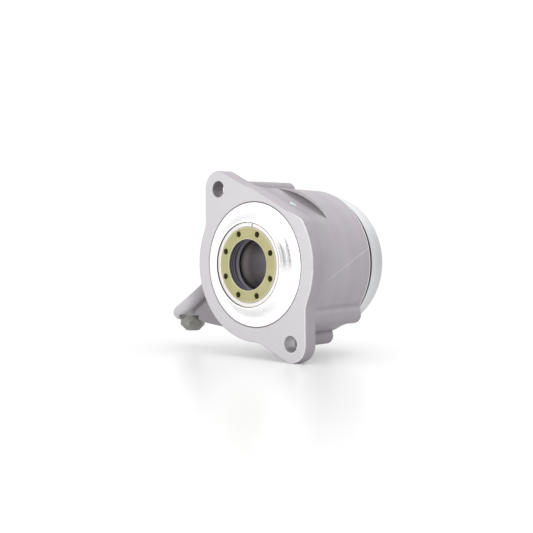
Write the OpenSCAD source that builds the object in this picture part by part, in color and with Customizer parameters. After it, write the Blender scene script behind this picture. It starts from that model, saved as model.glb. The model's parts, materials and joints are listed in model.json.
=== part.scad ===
// Concentric slave cylinder: a hydraulic clutch release cylinder that sits round the gearbox input shaft.
// The flange face lies in the XZ plane and looks towards -Y, the cylinder axis runs along +Y to the clutch
// side, +Z is up and the origin is the centre of the flange face. Lengths are in millimetres.

/* [Shaft way and guide sleeve] */
// Inside radius of the guide sleeve that the input shaft passes through
shaft_bore_r = 14.15; // [12:0.05:18]
// Wall of the guide sleeve
sleeve_wall = 2.35; // [1.5:0.05:4]
// How far the guide sleeve stops short of the housing's rear rim
sleeve_setback = 0.8; // [0:0.1:3]
// Thickness of the guide sleeve's front collar
sleeve_collar_t = 2; // [1.5:0.1:2.4]
// Thickness of the stop ring on the guide sleeve
stop_t = 1.3; // [1:0.1:2]
// Height of the stop ring above the guide sleeve
stop_h = 1.8; // [1.2:0.1:2.4]

/* [Cylinder and piston] */
// Radial space between the guide sleeve and the cylinder bore
piston_section = 9.5; // [8.5:0.1:14]
// Wall of the inner cylinder
cylinder_wall = 3.5; // [2.5:0.1:6]
// How far the inner cylinder stops short of the housing's rear rim
cylinder_setback = 4.3; // [3:0.1:8]
// Stroke of the piston
stroke = 10; // [6:0.5:12]
// Length of the pressure chamber when the piston is back
chamber_l = 8; // [7.5:0.1:9]
// Length of the rubber piston seal
piston_seal_l = 5; // [4:0.1:6]
// Thickness of the ring between the seal and the piston
backing_t = 2; // [1.5:0.1:3]
// Width of the plastic guide rings
guide_ring_w = 5; // [3:0.1:6]
// Thickness of the plastic guide rings
guide_ring_t = 1.5; // [1:0.05:2]
// Distance of a guide ring from the end of its bearing length
guide_ring_inset = 2; // [1.5:0.1:3]
// Thickness of the piston's rear flange
piston_flange_t = 3; // [2:0.1:5]

/* [Preload spring] */
// Wire diameter of the preload spring
spring_wire = 3.2; // [2.5:0.1:4]
// Turns of the preload spring, closed end turns included
spring_turns = 5.5; // [4:0.25:6]
// Radial room between the inner cylinder and the spring
spring_room = 1.2; // [0.8:0.1:3]
// Wall of the dust sleeve round the spring
dust_wall = 1; // [0.8:0.1:2]
// Length of the dust sleeve ahead of the piston flange
dust_l = 16; // [15:0.5:24]

/* [Housing] */
// Wall of the outer skirt at the rear rim
skirt_wall = 6; // [4.5:0.1:7]
// Draft of the outer skirt, as the growth in radius from the rear rim to the flange
skirt_draft = 1.1; // [0.5:0.1:3]
// Length of the housing from the flange face to the rear rim
body_l = 52.3; // [50:0.1:70]
// Depth of the pocket for the end cap
cap_depth = 9.5; // [9.2:0.1:12]
// Thickness of the web between the end cap and the spring
web_t = 9; // [8:0.1:12]
// Radius of the round at the rear rim
rim_round = 1.2; // [0.5:0.1:2]
// Radius of the fillet between the skirt and the back of an ear
ear_root_r = 3; // [1:0.1:5]

/* [Flange] */
// Thickness of the flange
flange_t = 8.5; // [6:0.1:9]
// Distance of the bolt holes outside the round of the flange
ear_reach = 7.4; // [6:0.1:14]
// End radius of the ears
ear_r = 10.4; // [8:0.1:12]
// Diameter of the bolt holes
bolt_hole_d = 9; // [6.6:0.1:11]
// Direction of the first ear, from +X towards +Z
ear_angle = 123.5; // [118:0.5:130]
// Angle from an ear's direction to the normals of its straight sides
ear_spread = 57.5; // [54:0.5:62]
// Radius of the hollow blend from an ear to the round of the flange
ear_blend_r = 18; // [10:1:30]

/* [Flat and bosses] */
// How deep the flat cuts into the round of the flange
flat_cut = 5.2; // [2:0.1:5.6]
// Direction of the flat, from +X towards +Z
flat_angle = 64.5; // [60:0.5:68]
// Length of the flat from the flange face
flat_l = 24; // [14:0.5:30]
// Radius of the fillet at the end of the flat
flat_round = 2.5; // [0.5:0.1:4]
// Radius of the long bosses behind the ears
boss_r = 5; // [3:0.1:6]
// Distance of the boss centres outside the round of the flange
boss_out = 0.5; // [-1:0.1:2]
// Angle between an ear and the bosses on either side of it
boss_spread = 16; // [14:0.5:22]
// How far the bosses beside the first ear stop short of the rear rim
boss_setback = 7; // [2:0.1:15]
// How far the bosses beside the second ear stop short of the rear rim
low_boss_setback = 3; // [2:0.1:15]
// Radius of the round at the end of the bosses
boss_round = 1.4; // [0.5:0.1:2.5]

/* [Port arm] */
// Radius of the arm that carries the oil gallery
arm_r = 4.3; // [3.8:0.1:5]
// Direction of the arm, from +X towards +Z
arm_angle = 214; // [208:0.5:220]
// Distance of the arm's centre line from the cylinder axis
arm_offset = 14.8; // [10:0.1:18]
// Reach of the arm's tip outside the round of the flange
arm_l = 39.3; // [36:0.1:50]
// Radius of the round at the arm's tip
arm_round = 3; // [1.5:0.1:3.6]
// Distance of the port from the arm's tip
port_inset = 13.4; // [12:0.1:18]
// Distance of the port's axis behind the arm's centre line
port_back = 2.4; // [0:0.1:2.6]
// Radius of the drilled oil gallery
gallery_r = 1.8; // [1.2:0.1:2.2]
// Radius of the plug in the gallery's outer end
plug_r = 2.5; // [2.3:0.1:3]
// Length of the plug in the gallery's outer end
plug_l = 4; // [3:0.1:6]
// Thickness of the gusset below the arm
gusset_t = 3.8; // [3:0.1:6]
// How far the gusset's back lies in front of the arm's rearmost line
gusset_back = 0.5; // [0.3:0.1:1]
// Depth of the gusset's lower corner below the port face
gusset_drop = 3.6; // [2:0.1:6]
// Distance of the gusset's lower corner from the port's axis
gusset_corner = 11.6; // [10:0.1:14]
// Direction in which the gusset's lower edge meets the skirt, from +X towards +Z
gusset_angle = 256; // [240:1:262]

/* [Inlet union] */
// Depth of the port face below the arm's centre line
port_boss_h = 6.5; // [6:0.1:10]
// Radius of the port boss
port_boss_r = 4.6; // [4.4:0.1:6]
// Thickness of the sealing washer
washer_t = 1; // [0.8:0.1:2]
// Width across flats of the union's hexagon
hex_af = 13; // [12:0.5:15]
// Height of the union's hexagon
hex_h = 8.3; // [8:0.1:10]
// Slope of the cone under the union's seat
hex_top_slope = 42; // [20:1:45]
// Radius of the union's lower face
hex_foot_r = 4; // [3.6:0.1:5]
// Room between the union's hexagon and the spot face cut round it
spot_room = 0.6; // [0.4:0.1:1]
// Radius of the union's thread
union_thread_r = 2.9; // [2.6:0.1:3.2]
// Length of the union's thread
union_thread_l = 5; // [4:0.1:6]
// Inside radius of the union's passage
union_bore_r = 1.5; // [1.2:0.05:1.8]
// Inside radius of the union's pipe socket
inlet_r = 2.5; // [2:0.05:3]
// Depth of the union's pipe socket
inlet_l = 4.5; // [4:0.1:6]

/* [End cap and hub] */
// Width of the flange rim round the end cap
rim_w = 8.15; // [6:0.05:9]
// How far the hub stands in front of the flange face
hub_h = 5; // [4.8:0.1:5.6]
// Width of the hub's front edge outside its bore
hub_edge = 1.1; // [0.9:0.05:2]
// Flare of the hub from its front edge to the cap's face
hub_flare = 5; // [3:0.1:6]
// Radius of the fillet at the foot of the hub
hub_foot_r = 2.5; // [0.5:0.1:4]
// Radial step from the seal's seat to the hub bore
hub_step = 2.3; // [2:0.1:3]
// Radius of the section of the cap's sealing ring
cap_ring_r = 1; // [0.8:0.05:1.3]
// Radius of the section of the sleeve's sealing ring
sleeve_ring_r = 0.7; // [0.5:0.05:0.8]

/* [Shaft seal and retainer] */
// Radial section of the shaft seal
seal_section = 6.85; // [6.5:0.05:9]
// Width of the shaft seal
seal_w = 5.4; // [5.2:0.1:5.8]
// Wall of the shaft seal's steel case
case_t = 0.8; // [0.6:0.05:1]
// Radius of the wire ring that tightens the seal's lip
garter_r = 0.6; // [0.4:0.05:0.7]
// Thickness of the perforated retainer ring
retainer_t = 2.5; // [2:0.1:2.7]
// How far the retainer's middle stands ahead of its edge
retainer_rise = 1.8; // [1:0.1:1.9]
// Thickness of the retainer's inner lip
retainer_lip = 1; // [0.8:0.1:1.4]
// Number of holes in the retainer ring
retainer_holes = 8; // [6:1:12]
// Diameter of the holes in the retainer ring
retainer_hole_d = 3.3; // [2:0.1:3.6]
// Distance of the retainer's holes from the edge of the shaft way
retainer_hole_in = 4.1; // [3.8:0.1:4.4]
// Thickness of the snap ring
snap_t = 1.5; // [1:0.1:1.6]
// Radial width of the snap ring
snap_w = 2.7; // [2.2:0.1:3]
// Depth of the snap ring's groove
snap_groove = 0.55; // [0.4:0.05:0.7]
// Gap between the ends of the snap ring
snap_gap = 1.2; // [0.8:0.1:4]
// Direction of the snap ring's gap, from +X towards +Z
snap_angle = 82; // [60:1:120]
// Width of the hub's edge in front of the snap ring
snap_lip = 0.45; // [0.4:0.05:0.8]

/* [Release bearing] */
// Gap between the housing's rear rim and the bearing shell when the piston is back
rear_gap = 3.6; // [1.5:0.1:4]
// How far the shell reaches ahead of the piston flange
shell_lip = 1; // [0.5:0.1:3]
// How far the shell stands inside the housing's rear edge
shell_inset = 2.1; // [0.5:0.1:2.5]
// Wall of the bearing shell
shell_wall = 2; // [1.5:0.1:2.4]
// Length of the shell's straight band
shell_band = 2.5; // [2:0.1:6]
// Radius of the shell's rounded shoulder
shell_round_r = 22; // [21:0.1:28]
// Distance of the shell's rear opening outside the ball circle
shell_mouth_out = 4.2; // [4:0.1:4.8]
// Ball radius
ball_r = 3.2; // [2.8:0.05:3.3]
// Number of balls
ball_count = 16; // [10:1:18]
// Radial distance of the ball circle outside the cylinder bore
ball_out = 0.8; // [0.4:0.1:1.2]
// Width of the fixed bearing ring
fixed_ring_w = 9.8; // [9:0.1:11.5]
// Thickness of the bearing's shield
shield_t = 0.8; // [0.6:0.05:1]
// How far the thrust ring's face stands behind the shell
thrust_proud = 2.5; // [1.5:0.1:5]
// Radius of the round at the edge of the thrust face
thrust_round = 1.6; // [1:0.1:2]

/* [Clearances] */
// Radial running clearance of guide rings and seals
running_gap = 0.05; // [0.02:0.01:0.1]
// Clearance between moving parts that don't guide each other
free_gap = 0.4; // [0.3:0.05:0.5]
// Clearance of pieces that are pushed into a seat
seat_gap = 0.1; // [0.05:0.01:0.15]
// Clearance between the balls and their grooves
ball_gap = 0.15; // [0.1:0.01:0.2]

/* [Hidden] */
$fn = 96;

// Length by which a cutting shape runs past the face that it opens
over = 1;

// Radii, built outwards from the shaft way
sleeve_r = shaft_bore_r + sleeve_wall;
cylinder_bore_r = sleeve_r + piston_section;
cylinder_r = cylinder_bore_r + cylinder_wall;
spring_mean_r = cylinder_r + spring_room + spring_wire / 2;
dust_in_r = spring_mean_r + spring_wire / 2 + 2 * free_gap;
dust_r = dust_in_r + dust_wall;
pocket_r = dust_r + free_gap;
rear_r = pocket_r + skirt_wall;
flange_r = rear_r + skirt_draft;
cap_pocket_r = flange_r - rim_w;
cap_r = cap_pocket_r - seat_gap;
bolt_circle_r = flange_r + ear_reach;

// Places along the axis, from the flange face towards the clutch
pocket_floor = cap_depth + web_t;
cylinder_end = body_l - cylinder_setback;
sleeve_end = body_l - sleeve_setback;
flat_d = flange_r - flat_cut;

// Hub, seal and retainer
seal_r = shaft_bore_r + seal_section;
seal_seat_r = seal_r + seat_gap;
hub_bore_r = seal_seat_r + hub_step;
hub_nose_r = hub_bore_r + hub_edge;
hub_base_r = hub_nose_r + hub_flare;
snap_front = -hub_h + snap_lip;
retainer_front = snap_front + snap_t + running_gap;
seal_front = retainer_front + retainer_t;
collar_front = seal_front + seal_w;
collar_rear = collar_front + sleeve_collar_t;
retainer_hole_r = shaft_bore_r + retainer_hole_in;
snap_out_r = hub_bore_r + snap_groove - seat_gap / 2;
retainer_boss_r = snap_out_r - snap_w - seat_gap;
retainer_boss_front = retainer_front - retainer_rise;
retainer_lip_rear = retainer_boss_front + retainer_lip;
dust_lip_r = shaft_bore_r + 1.35;

// Piston and what it carries
piston_bore_r = sleeve_r + free_gap;
piston_r = cylinder_bore_r - free_gap;
piston_seal_front = cap_depth + chamber_l;
backing_front = piston_seal_front + piston_seal_l;
piston_front = backing_front + backing_t;
shell_front = body_l + rear_gap;
piston_flange_front = shell_front + shell_lip;
bearing_seat = piston_flange_front + piston_flange_t;
piston_guide_front = piston_front + guide_ring_inset;
piston_guide_out_r = cylinder_bore_r - running_gap;
piston_guide_in_r = piston_guide_out_r - guide_ring_t;

// Stop ring on the guide sleeve, which a step in the piston's bore runs up to
stop_edge = 2.1;
stop_margin = 0.6;
stop_groove = 0.7;
stop_rear = sleeve_end - stop_edge;
stop_front = stop_rear - stop_t;
stop_r = sleeve_r + stop_h;
stop_room_r = stop_r + free_gap;
stop_step = stop_front - stroke - stop_margin;
sleeve_guide_in_r = sleeve_r + running_gap;
sleeve_guide_out_r = sleeve_guide_in_r + guide_ring_t;
sleeve_guide_front = stop_step - guide_ring_inset - guide_ring_w;

// Bearing shell and rings
shell_r = rear_r - shell_inset;
shell_in_r = shell_r - shell_wall;
shell_band_end = shell_front + shell_band;
shell_centre_r = shell_r - shell_round_r;
lip_front = bearing_seat + fixed_ring_w + seat_gap;
shell_end = lip_front + shell_wall;
ball_pitch_r = cylinder_bore_r + ball_out;
shell_mouth_r = ball_pitch_r + shell_mouth_out;
groove_r = ball_r + ball_gap;
ball_y = bearing_seat + fixed_ring_w / 2;
piston_flange_r = shell_inside(bearing_seat) - seat_gap;
fixed_ring_r = shell_inside(lip_front) - 2 * seat_gap;
fixed_land_r = ball_pitch_r + 0.75 * ball_r;
fixed_shoulder_r = ball_pitch_r + free_gap;
thrust_land_r = ball_pitch_r - 0.75 * ball_r;
thrust_shoulder_r = ball_pitch_r - free_gap / 2;
thrust_in_r = stop_room_r + 4 * free_gap;
thrust_front = bearing_seat + 2 * free_gap;
thrust_end = shell_end + thrust_proud;
thrust_nose_front = lip_front + free_gap / 2;
thrust_nose_r = ball_pitch_r + shell_mouth_out / 2;
shield_rear = thrust_nose_front - free_gap;
shield_front = shield_rear - shield_t;
shield_in_r = thrust_shoulder_r + free_gap;
shield_out_r = fixed_land_r - seat_gap;
cage_front = bearing_seat + free_gap;
cage_rear = shield_front - free_gap;

// Port arm, with its directions in (x, z)
arm_y = cap_depth + web_t / 2;
port_y = arm_y + port_back;
gusset_rear = arm_y + arm_r - gusset_back;
arm_dir = [cos(arm_angle), sin(arm_angle)];
arm_side = [sin(arm_angle), -cos(arm_angle)];
arm_tip = flange_r + arm_l;
gallery_in = sqrt(pow(cylinder_bore_r, 2) - pow(arm_offset, 2)) - over;
port_at = arm_tip - port_inset;
port = arm_point(port_at);
port_face_z = port[1] - port_boss_h;
hex_top_z = port_face_z - washer_t;
hex_bottom_z = hex_top_z - hex_h;
hex_r = hex_af / 2 / cos(30);
washer_r = port_boss_r - seat_gap;
spot_r = hex_r + spot_room;

// Straight side of an ear, as its distance from the axis
ear_side_d = bolt_circle_r * cos(ear_spread) + ear_r;

function polar(r, a) = [r * cos(a), r * sin(a)];
function arm_point(d) = arm_dir * d + arm_side * arm_offset;

// Inside radius of the bearing shell at a place along the axis
function shell_inside(y) =
    shell_centre_r + sqrt(pow(shell_round_r - shell_wall, 2) - pow(max(0, y - shell_band_end), 2));

// Turns a profile of (radius, place along the axis) round the cylinder axis
module turned() {
    rotate([-90, 0, 0])
        rotate_extrude()
            children();
}

// Stretches an outline of (x, z) along the axis from y0 to y1
module slab(y0, y1) {
    translate([0, y1, 0])
        rotate([90, 0, 0])
            linear_extrude(y1 - y0)
                children();
}

// Plain ring round the cylinder axis
module tube(r_in, r_out, y0, y1) {
    turned()
        translate([r_in, y0])
            square([r_out - r_in, y1 - y0]);
}

// Ring of round section round the cylinder axis
module round_ring(r, section_r, y) {
    turned()
        translate([r, y])
            circle(section_r);
}

// Half section of a bar with a rounded outer end
module rounded_bar(r, l, round_r) {
    square([r, l - round_r]);
    square([r - round_r, l]);
    intersection() {
        translate([r - round_r, l - round_r])
            circle(round_r);
        translate([r - round_r, l - round_r])
            square(round_r);
    }
}

// Round bar along the arm's centre line
module along_arm(r, d0, d1) {
    p = arm_point(d0);
    translate([p[0], arm_y, p[1]])
        rotate([0, 90 - arm_angle, 0])
            cylinder(r = r, h = d1 - d0);
}

// Round bar along the port's axis
module along_port(r, z0, z1) {
    translate([port[0], port_y, z0])
        cylinder(r = r, h = z1 - z0);
}

// One straight side of an ear with the hollow blend to the round of the flange, the ear lying along +X
module ear_side(side) {
    normal = polar(1, side * ear_spread);
    along = polar(1, side * (ear_spread - 90));
    foot = normal * ear_side_d;
    tangent = [bolt_circle_r, 0] + normal * ear_r;
    blend_in = sqrt(pow(flange_r + ear_blend_r, 2) - pow(ear_side_d + ear_blend_r, 2));
    blend_c = normal * (ear_side_d + ear_blend_r) + along * blend_in;
    polygon([[0, 0], [bolt_circle_r, 0], tangent, foot]);
    difference() {
        polygon([[0, 0], foot + along * blend_in, blend_c, blend_c * flange_r / (flange_r + ear_blend_r)]);
        translate(blend_c)
            circle(ear_blend_r);
    }
}

// Outline of the flange: a round with two ears opposite each other
module flange_outline() {
    circle(flange_r);
    for (turn = [0, 180])
        rotate(ear_angle + turn) {
            translate([bolt_circle_r, 0])
                circle(ear_r);
            for (side = [-1, 1])
                ear_side(side);
        }
}

// Fillet between the skirt and the back of the ears
module ear_roots() {
    root_r = flange_r + ear_root_r;
    root_y = flange_t + ear_root_r;
    intersection() {
        slab(flange_t, root_y)
            flange_outline();
        turned()
            difference() {
                translate([flange_r - over, flange_t])
                    square([ear_root_r + over, ear_root_r]);
                translate([root_r, root_y])
                    circle(ear_root_r);
            }
    }
}

// Outside of the skirt, drafted from the flange towards the rear and rounded at its rim
module skirt_profile() {
    round_r = rear_r - rim_round;
    round_y = body_l - rim_round;
    polygon([[0, 0], [flange_r, 0], [flange_r, flange_t], [rear_r, round_y], [round_r, body_l],
             [0, body_l]]);
    intersection() {
        translate([round_r, round_y])
            circle(rim_round);
        translate([round_r, round_y])
            square(rim_round);
    }
}

// Two long bosses with rounded ends, one on either side of the ear at an angle
module long_bosses(angle, setback) {
    boss_front = flange_t / 2;
    for (side = [-1, 1]) {
        p = polar(flange_r + boss_out, angle + side * boss_spread);
        translate([p[0], boss_front, p[1]])
            turned()
                rounded_bar(boss_r, body_l - setback - boss_front, boss_round);
    }
}

// Port arm with a round tip, the gusset below it and the boss that the union screws into
module port_arm() {
    root = arm_point(pocket_r);
    bar_l = arm_tip - pocket_r;
    translate([root[0], arm_y, root[1]])
        rotate([0, 90 - arm_angle, 0])
            rotate_extrude()
                rounded_bar(arm_r, bar_l, arm_round);
    along_port(port_boss_r, port_face_z - over, port[1]);
    slab(gusset_rear - gusset_t, gusset_rear)
        polygon([root, port, [port[0], port_face_z - over], [port[0] + port_boss_r, port_face_z - over],
                 [port[0] + gusset_corner, port_face_z - gusset_drop], polar(rear_r, gusset_angle),
                 polar(pocket_r, gusset_angle)]);
}

// Space that the flat leaves open, with a fillet at its inner end
module flat_space() {
    rotate([0, 90 - flat_angle, 0])
        translate([0, 0, flat_d])
            rotate([90, 0, 90])
                linear_extrude(2 * bolt_circle_r, center = true) {
                    translate([-over, flat_round])
                        square([flat_l + over, bolt_circle_r]);
                    translate([-over, 0])
                        square([flat_l - flat_round + over, bolt_circle_r]);
                    translate([flat_l - flat_round, flat_round])
                        circle(flat_round);
                }
}

// Gallery from the arm's tip to the pressure chamber, with the seats of the plug and the union
module oil_ways() {
    along_arm(gallery_r, gallery_in, arm_tip);
    along_arm(plug_r, arm_tip - plug_l, arm_tip + over);
    along_port(gallery_r, port_face_z - over, port[1] + gallery_r);
    along_port(spot_r, hex_bottom_z, port_face_z);
    along_port(union_thread_r, port_face_z - over, port_face_z + union_thread_l + seat_gap);
}

// Cast and machined body with flange, skirt and inner cylinder
module housing() {
    color([0.75, 0.74, 0.76])
        difference() {
            union() {
                slab(0, flange_t)
                    flange_outline();
                turned()
                    skirt_profile();
                ear_roots();
                long_bosses(ear_angle, boss_setback);
                long_bosses(ear_angle + 180, low_boss_setback);
                port_arm();
            }
            flat_space();
            for (turn = [0, 180])
                slab(-over, flange_t + over)
                    translate(polar(bolt_circle_r, ear_angle + turn))
                        circle(d = bolt_hole_d);
            tube(0, cap_pocket_r, -over, cap_depth);
            tube(0, cylinder_bore_r, 0, body_l + over);
            tube(cylinder_r, pocket_r, pocket_floor, body_l + over);
            tube(0, pocket_r, cylinder_end, body_l + over);
            oil_ways();
        }
}

// Turned aluminium cap with the raised hub
module end_cap() {
    edge = 0.4;
    neck_r = sleeve_r + seat_gap;
    ring_y = (collar_rear + cap_depth) / 2;
    ring_seat_r = sleeve_r + 2 * sleeve_ring_r + 2 * seat_gap;
    cap_ring_y = cap_depth / 2;
    cap_ring_seat_r = cap_pocket_r - 2 * cap_ring_r - seat_gap;
    hub_slope = atan2(hub_h, hub_flare);
    foot_l = hub_foot_r * tan(hub_slope / 2);
    foot_c = [hub_base_r + foot_l, -hub_foot_r];
    color([0.93, 0.93, 0.94])
        turned()
            difference() {
                union() {
                    polygon([[neck_r, collar_rear], [seal_seat_r, collar_rear], [seal_seat_r, seal_front],
                             [hub_bore_r, seal_front], [hub_bore_r, -hub_h], [hub_nose_r, -hub_h],
                             [hub_base_r, 0], [cap_r - edge, 0], [cap_r, edge], [cap_r, cap_depth],
                             [neck_r, cap_depth]]);
                    difference() {
                        polygon([[hub_base_r, 0], [hub_base_r, 0] - polar(foot_l, hub_slope), foot_c,
                                 [hub_base_r + foot_l, 0]]);
                        translate(foot_c)
                            circle(hub_foot_r);
                    }
                }
                translate([hub_bore_r - over, snap_front - running_gap])
                    square([over + snap_groove, snap_t + 2 * running_gap]);
                translate([neck_r - over, ring_y - sleeve_ring_r - seat_gap])
                    square([ring_seat_r - neck_r + over, 2 * (sleeve_ring_r + seat_gap)]);
                translate([cap_ring_seat_r, cap_ring_y - cap_ring_r - seat_gap])
                    square([cap_r - cap_ring_seat_r + over, 2 * (cap_ring_r + seat_gap)]);
            }
}

// Rubber ring between the end cap and the housing
module cap_seal_ring() {
    color([0.1, 0.1, 0.1])
        round_ring(cap_pocket_r - cap_ring_r - seat_gap / 2, cap_ring_r, cap_depth / 2);
}

// Rubber ring between the end cap and the guide sleeve
module sleeve_seal_ring() {
    color([0.1, 0.1, 0.1])
        round_ring(sleeve_r + sleeve_ring_r + seat_gap / 2, sleeve_ring_r, (collar_rear + cap_depth) / 2);
}

// Passivated ring with holes and a raised middle that covers the shaft seal
module retainer_ring() {
    in_r = shaft_bore_r + seat_gap;
    out_r = hub_bore_r - seat_gap;
    lip_room_r = dust_lip_r + free_gap;
    color([0.74, 0.71, 0.5])
        difference() {
            turned()
                polygon([[in_r, retainer_boss_front], [retainer_boss_r, retainer_boss_front],
                         [retainer_boss_r, retainer_front], [out_r, retainer_front], [out_r, seal_front],
                         [lip_room_r, seal_front], [lip_room_r, retainer_lip_rear],
                         [in_r, retainer_lip_rear]]);
            for (k = [0 : retainer_holes - 1])
                slab(retainer_boss_front - over, seal_front + over)
                    translate(polar(retainer_hole_r, (k + 0.5) * 360 / retainer_holes))
                        circle(d = retainer_hole_d);
        }
}

// Split spring ring in the hub's groove
module snap_ring() {
    color([0.88, 0.86, 0.82])
        difference() {
            tube(snap_out_r - snap_w, snap_out_r, snap_front, snap_front + snap_t);
            slab(snap_front - over, snap_front + snap_t + over)
                rotate(snap_angle)
                    translate([0, -snap_gap / 2])
                        square([snap_out_r + over, snap_gap]);
        }
}

// Pressed steel case of the shaft seal
module seal_case() {
    inner_r = shaft_bore_r + 3;
    color([0.35, 0.35, 0.37])
        turned() {
            translate([seal_r - case_t, seal_front])
                square([case_t, seal_w - seat_gap]);
            translate([inner_r, seal_front])
                square([seal_r - inner_r, case_t]);
        }
}

// Rubber of the shaft seal with its dust lip and its main lip
module shaft_seal() {
    lip_r = shaft_bore_r + running_gap;
    back_y = seal_front + case_t + running_gap;
    heel_y = back_y + 1.2;
    lip_y = seal_front + seal_w - 1.5;
    end_y = seal_front + seal_w - 2 * running_gap - free_gap;
    dust_y = retainer_lip_rear + free_gap;
    dust_step = (seal_front - dust_y) / 4;
    rib_r = lip_r + dust_step / 2;
    color([0.12, 0.11, 0.13])
        turned()
            polygon([[lip_r, seal_front], [rib_r, seal_front - dust_step],
                     [lip_r, seal_front - 2 * dust_step], [rib_r, seal_front - 3 * dust_step],
                     [lip_r, dust_y], [dust_lip_r, dust_y],
                     [dust_lip_r, seal_front], [lip_r + 2.8, back_y],
                     [seal_r - case_t - running_gap, back_y], [seal_r - case_t - running_gap, heel_y],
                     [lip_r + 2.4, heel_y], [lip_r + 1.95, heel_y + 0.8], [lip_r + 1.95, end_y],
                     [lip_r + 0.95, end_y], [lip_r, lip_y], [lip_r + 1.25, heel_y],
                     [lip_r + 1.25, back_y + 0.5]]);
}

// Wire ring that keeps the main lip tight
module garter_spring() {
    color([0.6, 0.6, 0.62])
        round_ring(shaft_bore_r + 2 * running_gap + 2 + garter_r, garter_r, seal_front + seal_w - 1.5);
}

// Steel sleeve round the input shaft, on which the piston slides
module guide_sleeve() {
    color([0.42, 0.4, 0.4])
        turned()
            difference() {
                union() {
                    translate([shaft_bore_r, collar_front])
                        square([sleeve_wall, sleeve_end - collar_front]);
                    translate([shaft_bore_r, collar_front])
                        square([seal_r - shaft_bore_r, sleeve_collar_t]);
                }
                translate([sleeve_r - stop_groove, stop_front - running_gap])
                    square([stop_groove + over, stop_t + 2 * running_gap]);
            }
}

// Spring ring at the guide sleeve's rear end that stops the piston
module travel_stop_ring() {
    color([0.5, 0.5, 0.52])
        tube(sleeve_r - stop_groove + seat_gap / 2, stop_r, stop_front, stop_rear);
}

// Annular piston with the flange that carries the bearing
module piston() {
    color([0.66, 0.66, 0.69])
        turned()
            difference() {
                polygon([[piston_bore_r, piston_front], [piston_r, piston_front],
                         [piston_r, piston_flange_front],
                         [piston_flange_r, piston_flange_front], [piston_flange_r, bearing_seat],
                         [stop_room_r, bearing_seat], [stop_room_r, stop_step], [piston_bore_r, stop_step]]);
                translate([piston_guide_in_r - seat_gap / 2, piston_guide_front - running_gap])
                    square([guide_ring_t + over, guide_ring_w + 2 * running_gap]);
                translate([piston_bore_r - over, sleeve_guide_front - running_gap])
                    square([sleeve_guide_out_r + seat_gap / 2 - piston_bore_r + over,
                            guide_ring_w + 2 * running_gap]);
            }
}

// Double-lipped rubber seal in front of the piston
module piston_seal() {
    lip = 1.8;
    notch = piston_seal_l / 2;
    in_r = sleeve_r + running_gap;
    out_r = cylinder_bore_r - running_gap;
    color([0.1, 0.1, 0.1])
        turned()
            polygon([[in_r, piston_seal_front], [in_r + lip, piston_seal_front],
                     [in_r + 1.5 * lip, piston_seal_front + notch],
                     [out_r - 1.5 * lip, piston_seal_front + notch],
                     [out_r - lip, piston_seal_front], [out_r, piston_seal_front], [out_r, backing_front],
                     [in_r, backing_front]]);
}

// Plastic ring that backs the piston seal
module seal_backing_ring() {
    color([0.85, 0.83, 0.76])
        tube(sleeve_r + 2 * running_gap, cylinder_bore_r - 2 * running_gap, backing_front, piston_front);
}

// Plastic ring that guides the piston in the cylinder
module piston_guide_ring() {
    color([0.83, 0.81, 0.74])
        tube(piston_guide_in_r, piston_guide_out_r, piston_guide_front, piston_guide_front + guide_ring_w);
}

// Plastic ring that guides the piston on the sleeve
module sleeve_guide_ring() {
    color([0.83, 0.81, 0.74])
        tube(sleeve_guide_in_r, sleeve_guide_out_r, sleeve_guide_front, sleeve_guide_front + guide_ring_w);
}

// Coil spring with one closed turn at each end, swept round its helix
module preload_spring() {
    sides = 8;
    steps = 20;
    wire_r = spring_wire / 2;
    closed_rise = spring_wire + free_gap;
    first_y = pocket_floor + wire_r;
    last_y = piston_flange_front - wire_r;
    open_rise = (last_y - first_y - 2 * closed_rise) / (spring_turns - 2);
    rings = floor(spring_turns * steps);
    function rise(t) = t < 1 ? t * closed_rise
                     : t > spring_turns - 1 ? last_y - first_y - (spring_turns - t) * closed_rise
                     : closed_rise + (t - 1) * open_rise;
    points = [for (k = [0 : rings])
                  let (t = k / rings * spring_turns, y = first_y + rise(t))
                  for (s = [0 : sides - 1])
                      let (r = spring_mean_r + wire_r * cos(s * 360 / sides))
                      [r * cos(t * 360), y + wire_r * sin(s * 360 / sides), r * sin(t * 360)]];
    walls = [for (k = [0 : rings - 1], s = [0 : sides - 1])
                 let (n = (s + 1) % sides)
                 [k * sides + s, (k + 1) * sides + s, (k + 1) * sides + n, k * sides + n]];
    color([0.3, 0.31, 0.33])
        polyhedron(points, concat(walls, [[for (s = [0 : sides - 1]) s],
                                          [for (s = [0 : sides - 1]) rings * sides + sides - 1 - s]]));
}

// Black sleeve that keeps dirt out of the spring pocket
module dust_sleeve() {
    color([0.09, 0.09, 0.1])
        tube(dust_in_r, dust_r, piston_flange_front - dust_l, piston_flange_front);
}

// Drawn steel shell that holds the bearing on the piston's flange
module bearing_shell() {
    arc_l = shell_end - shell_band_end;
    color([0.82, 0.83, 0.84])
        turned()
            difference() {
                union() {
                    translate([0, shell_front])
                        square([shell_r, shell_band]);
                    intersection() {
                        translate([shell_centre_r, shell_band_end])
                            circle(shell_round_r);
                        translate([0, shell_band_end])
                            square([shell_r, arc_l]);
                    }
                }
                translate([-over, shell_front - over])
                    square([shell_in_r + over, shell_band + over]);
                intersection() {
                    translate([shell_centre_r, shell_band_end])
                        circle(shell_round_r - shell_wall);
                    translate([-over, shell_band_end - over])
                        square([shell_r, lip_front - shell_band_end + over]);
                }
                translate([-over, shell_front])
                    square([shell_mouth_r + over, shell_end]);
            }
}

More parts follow.
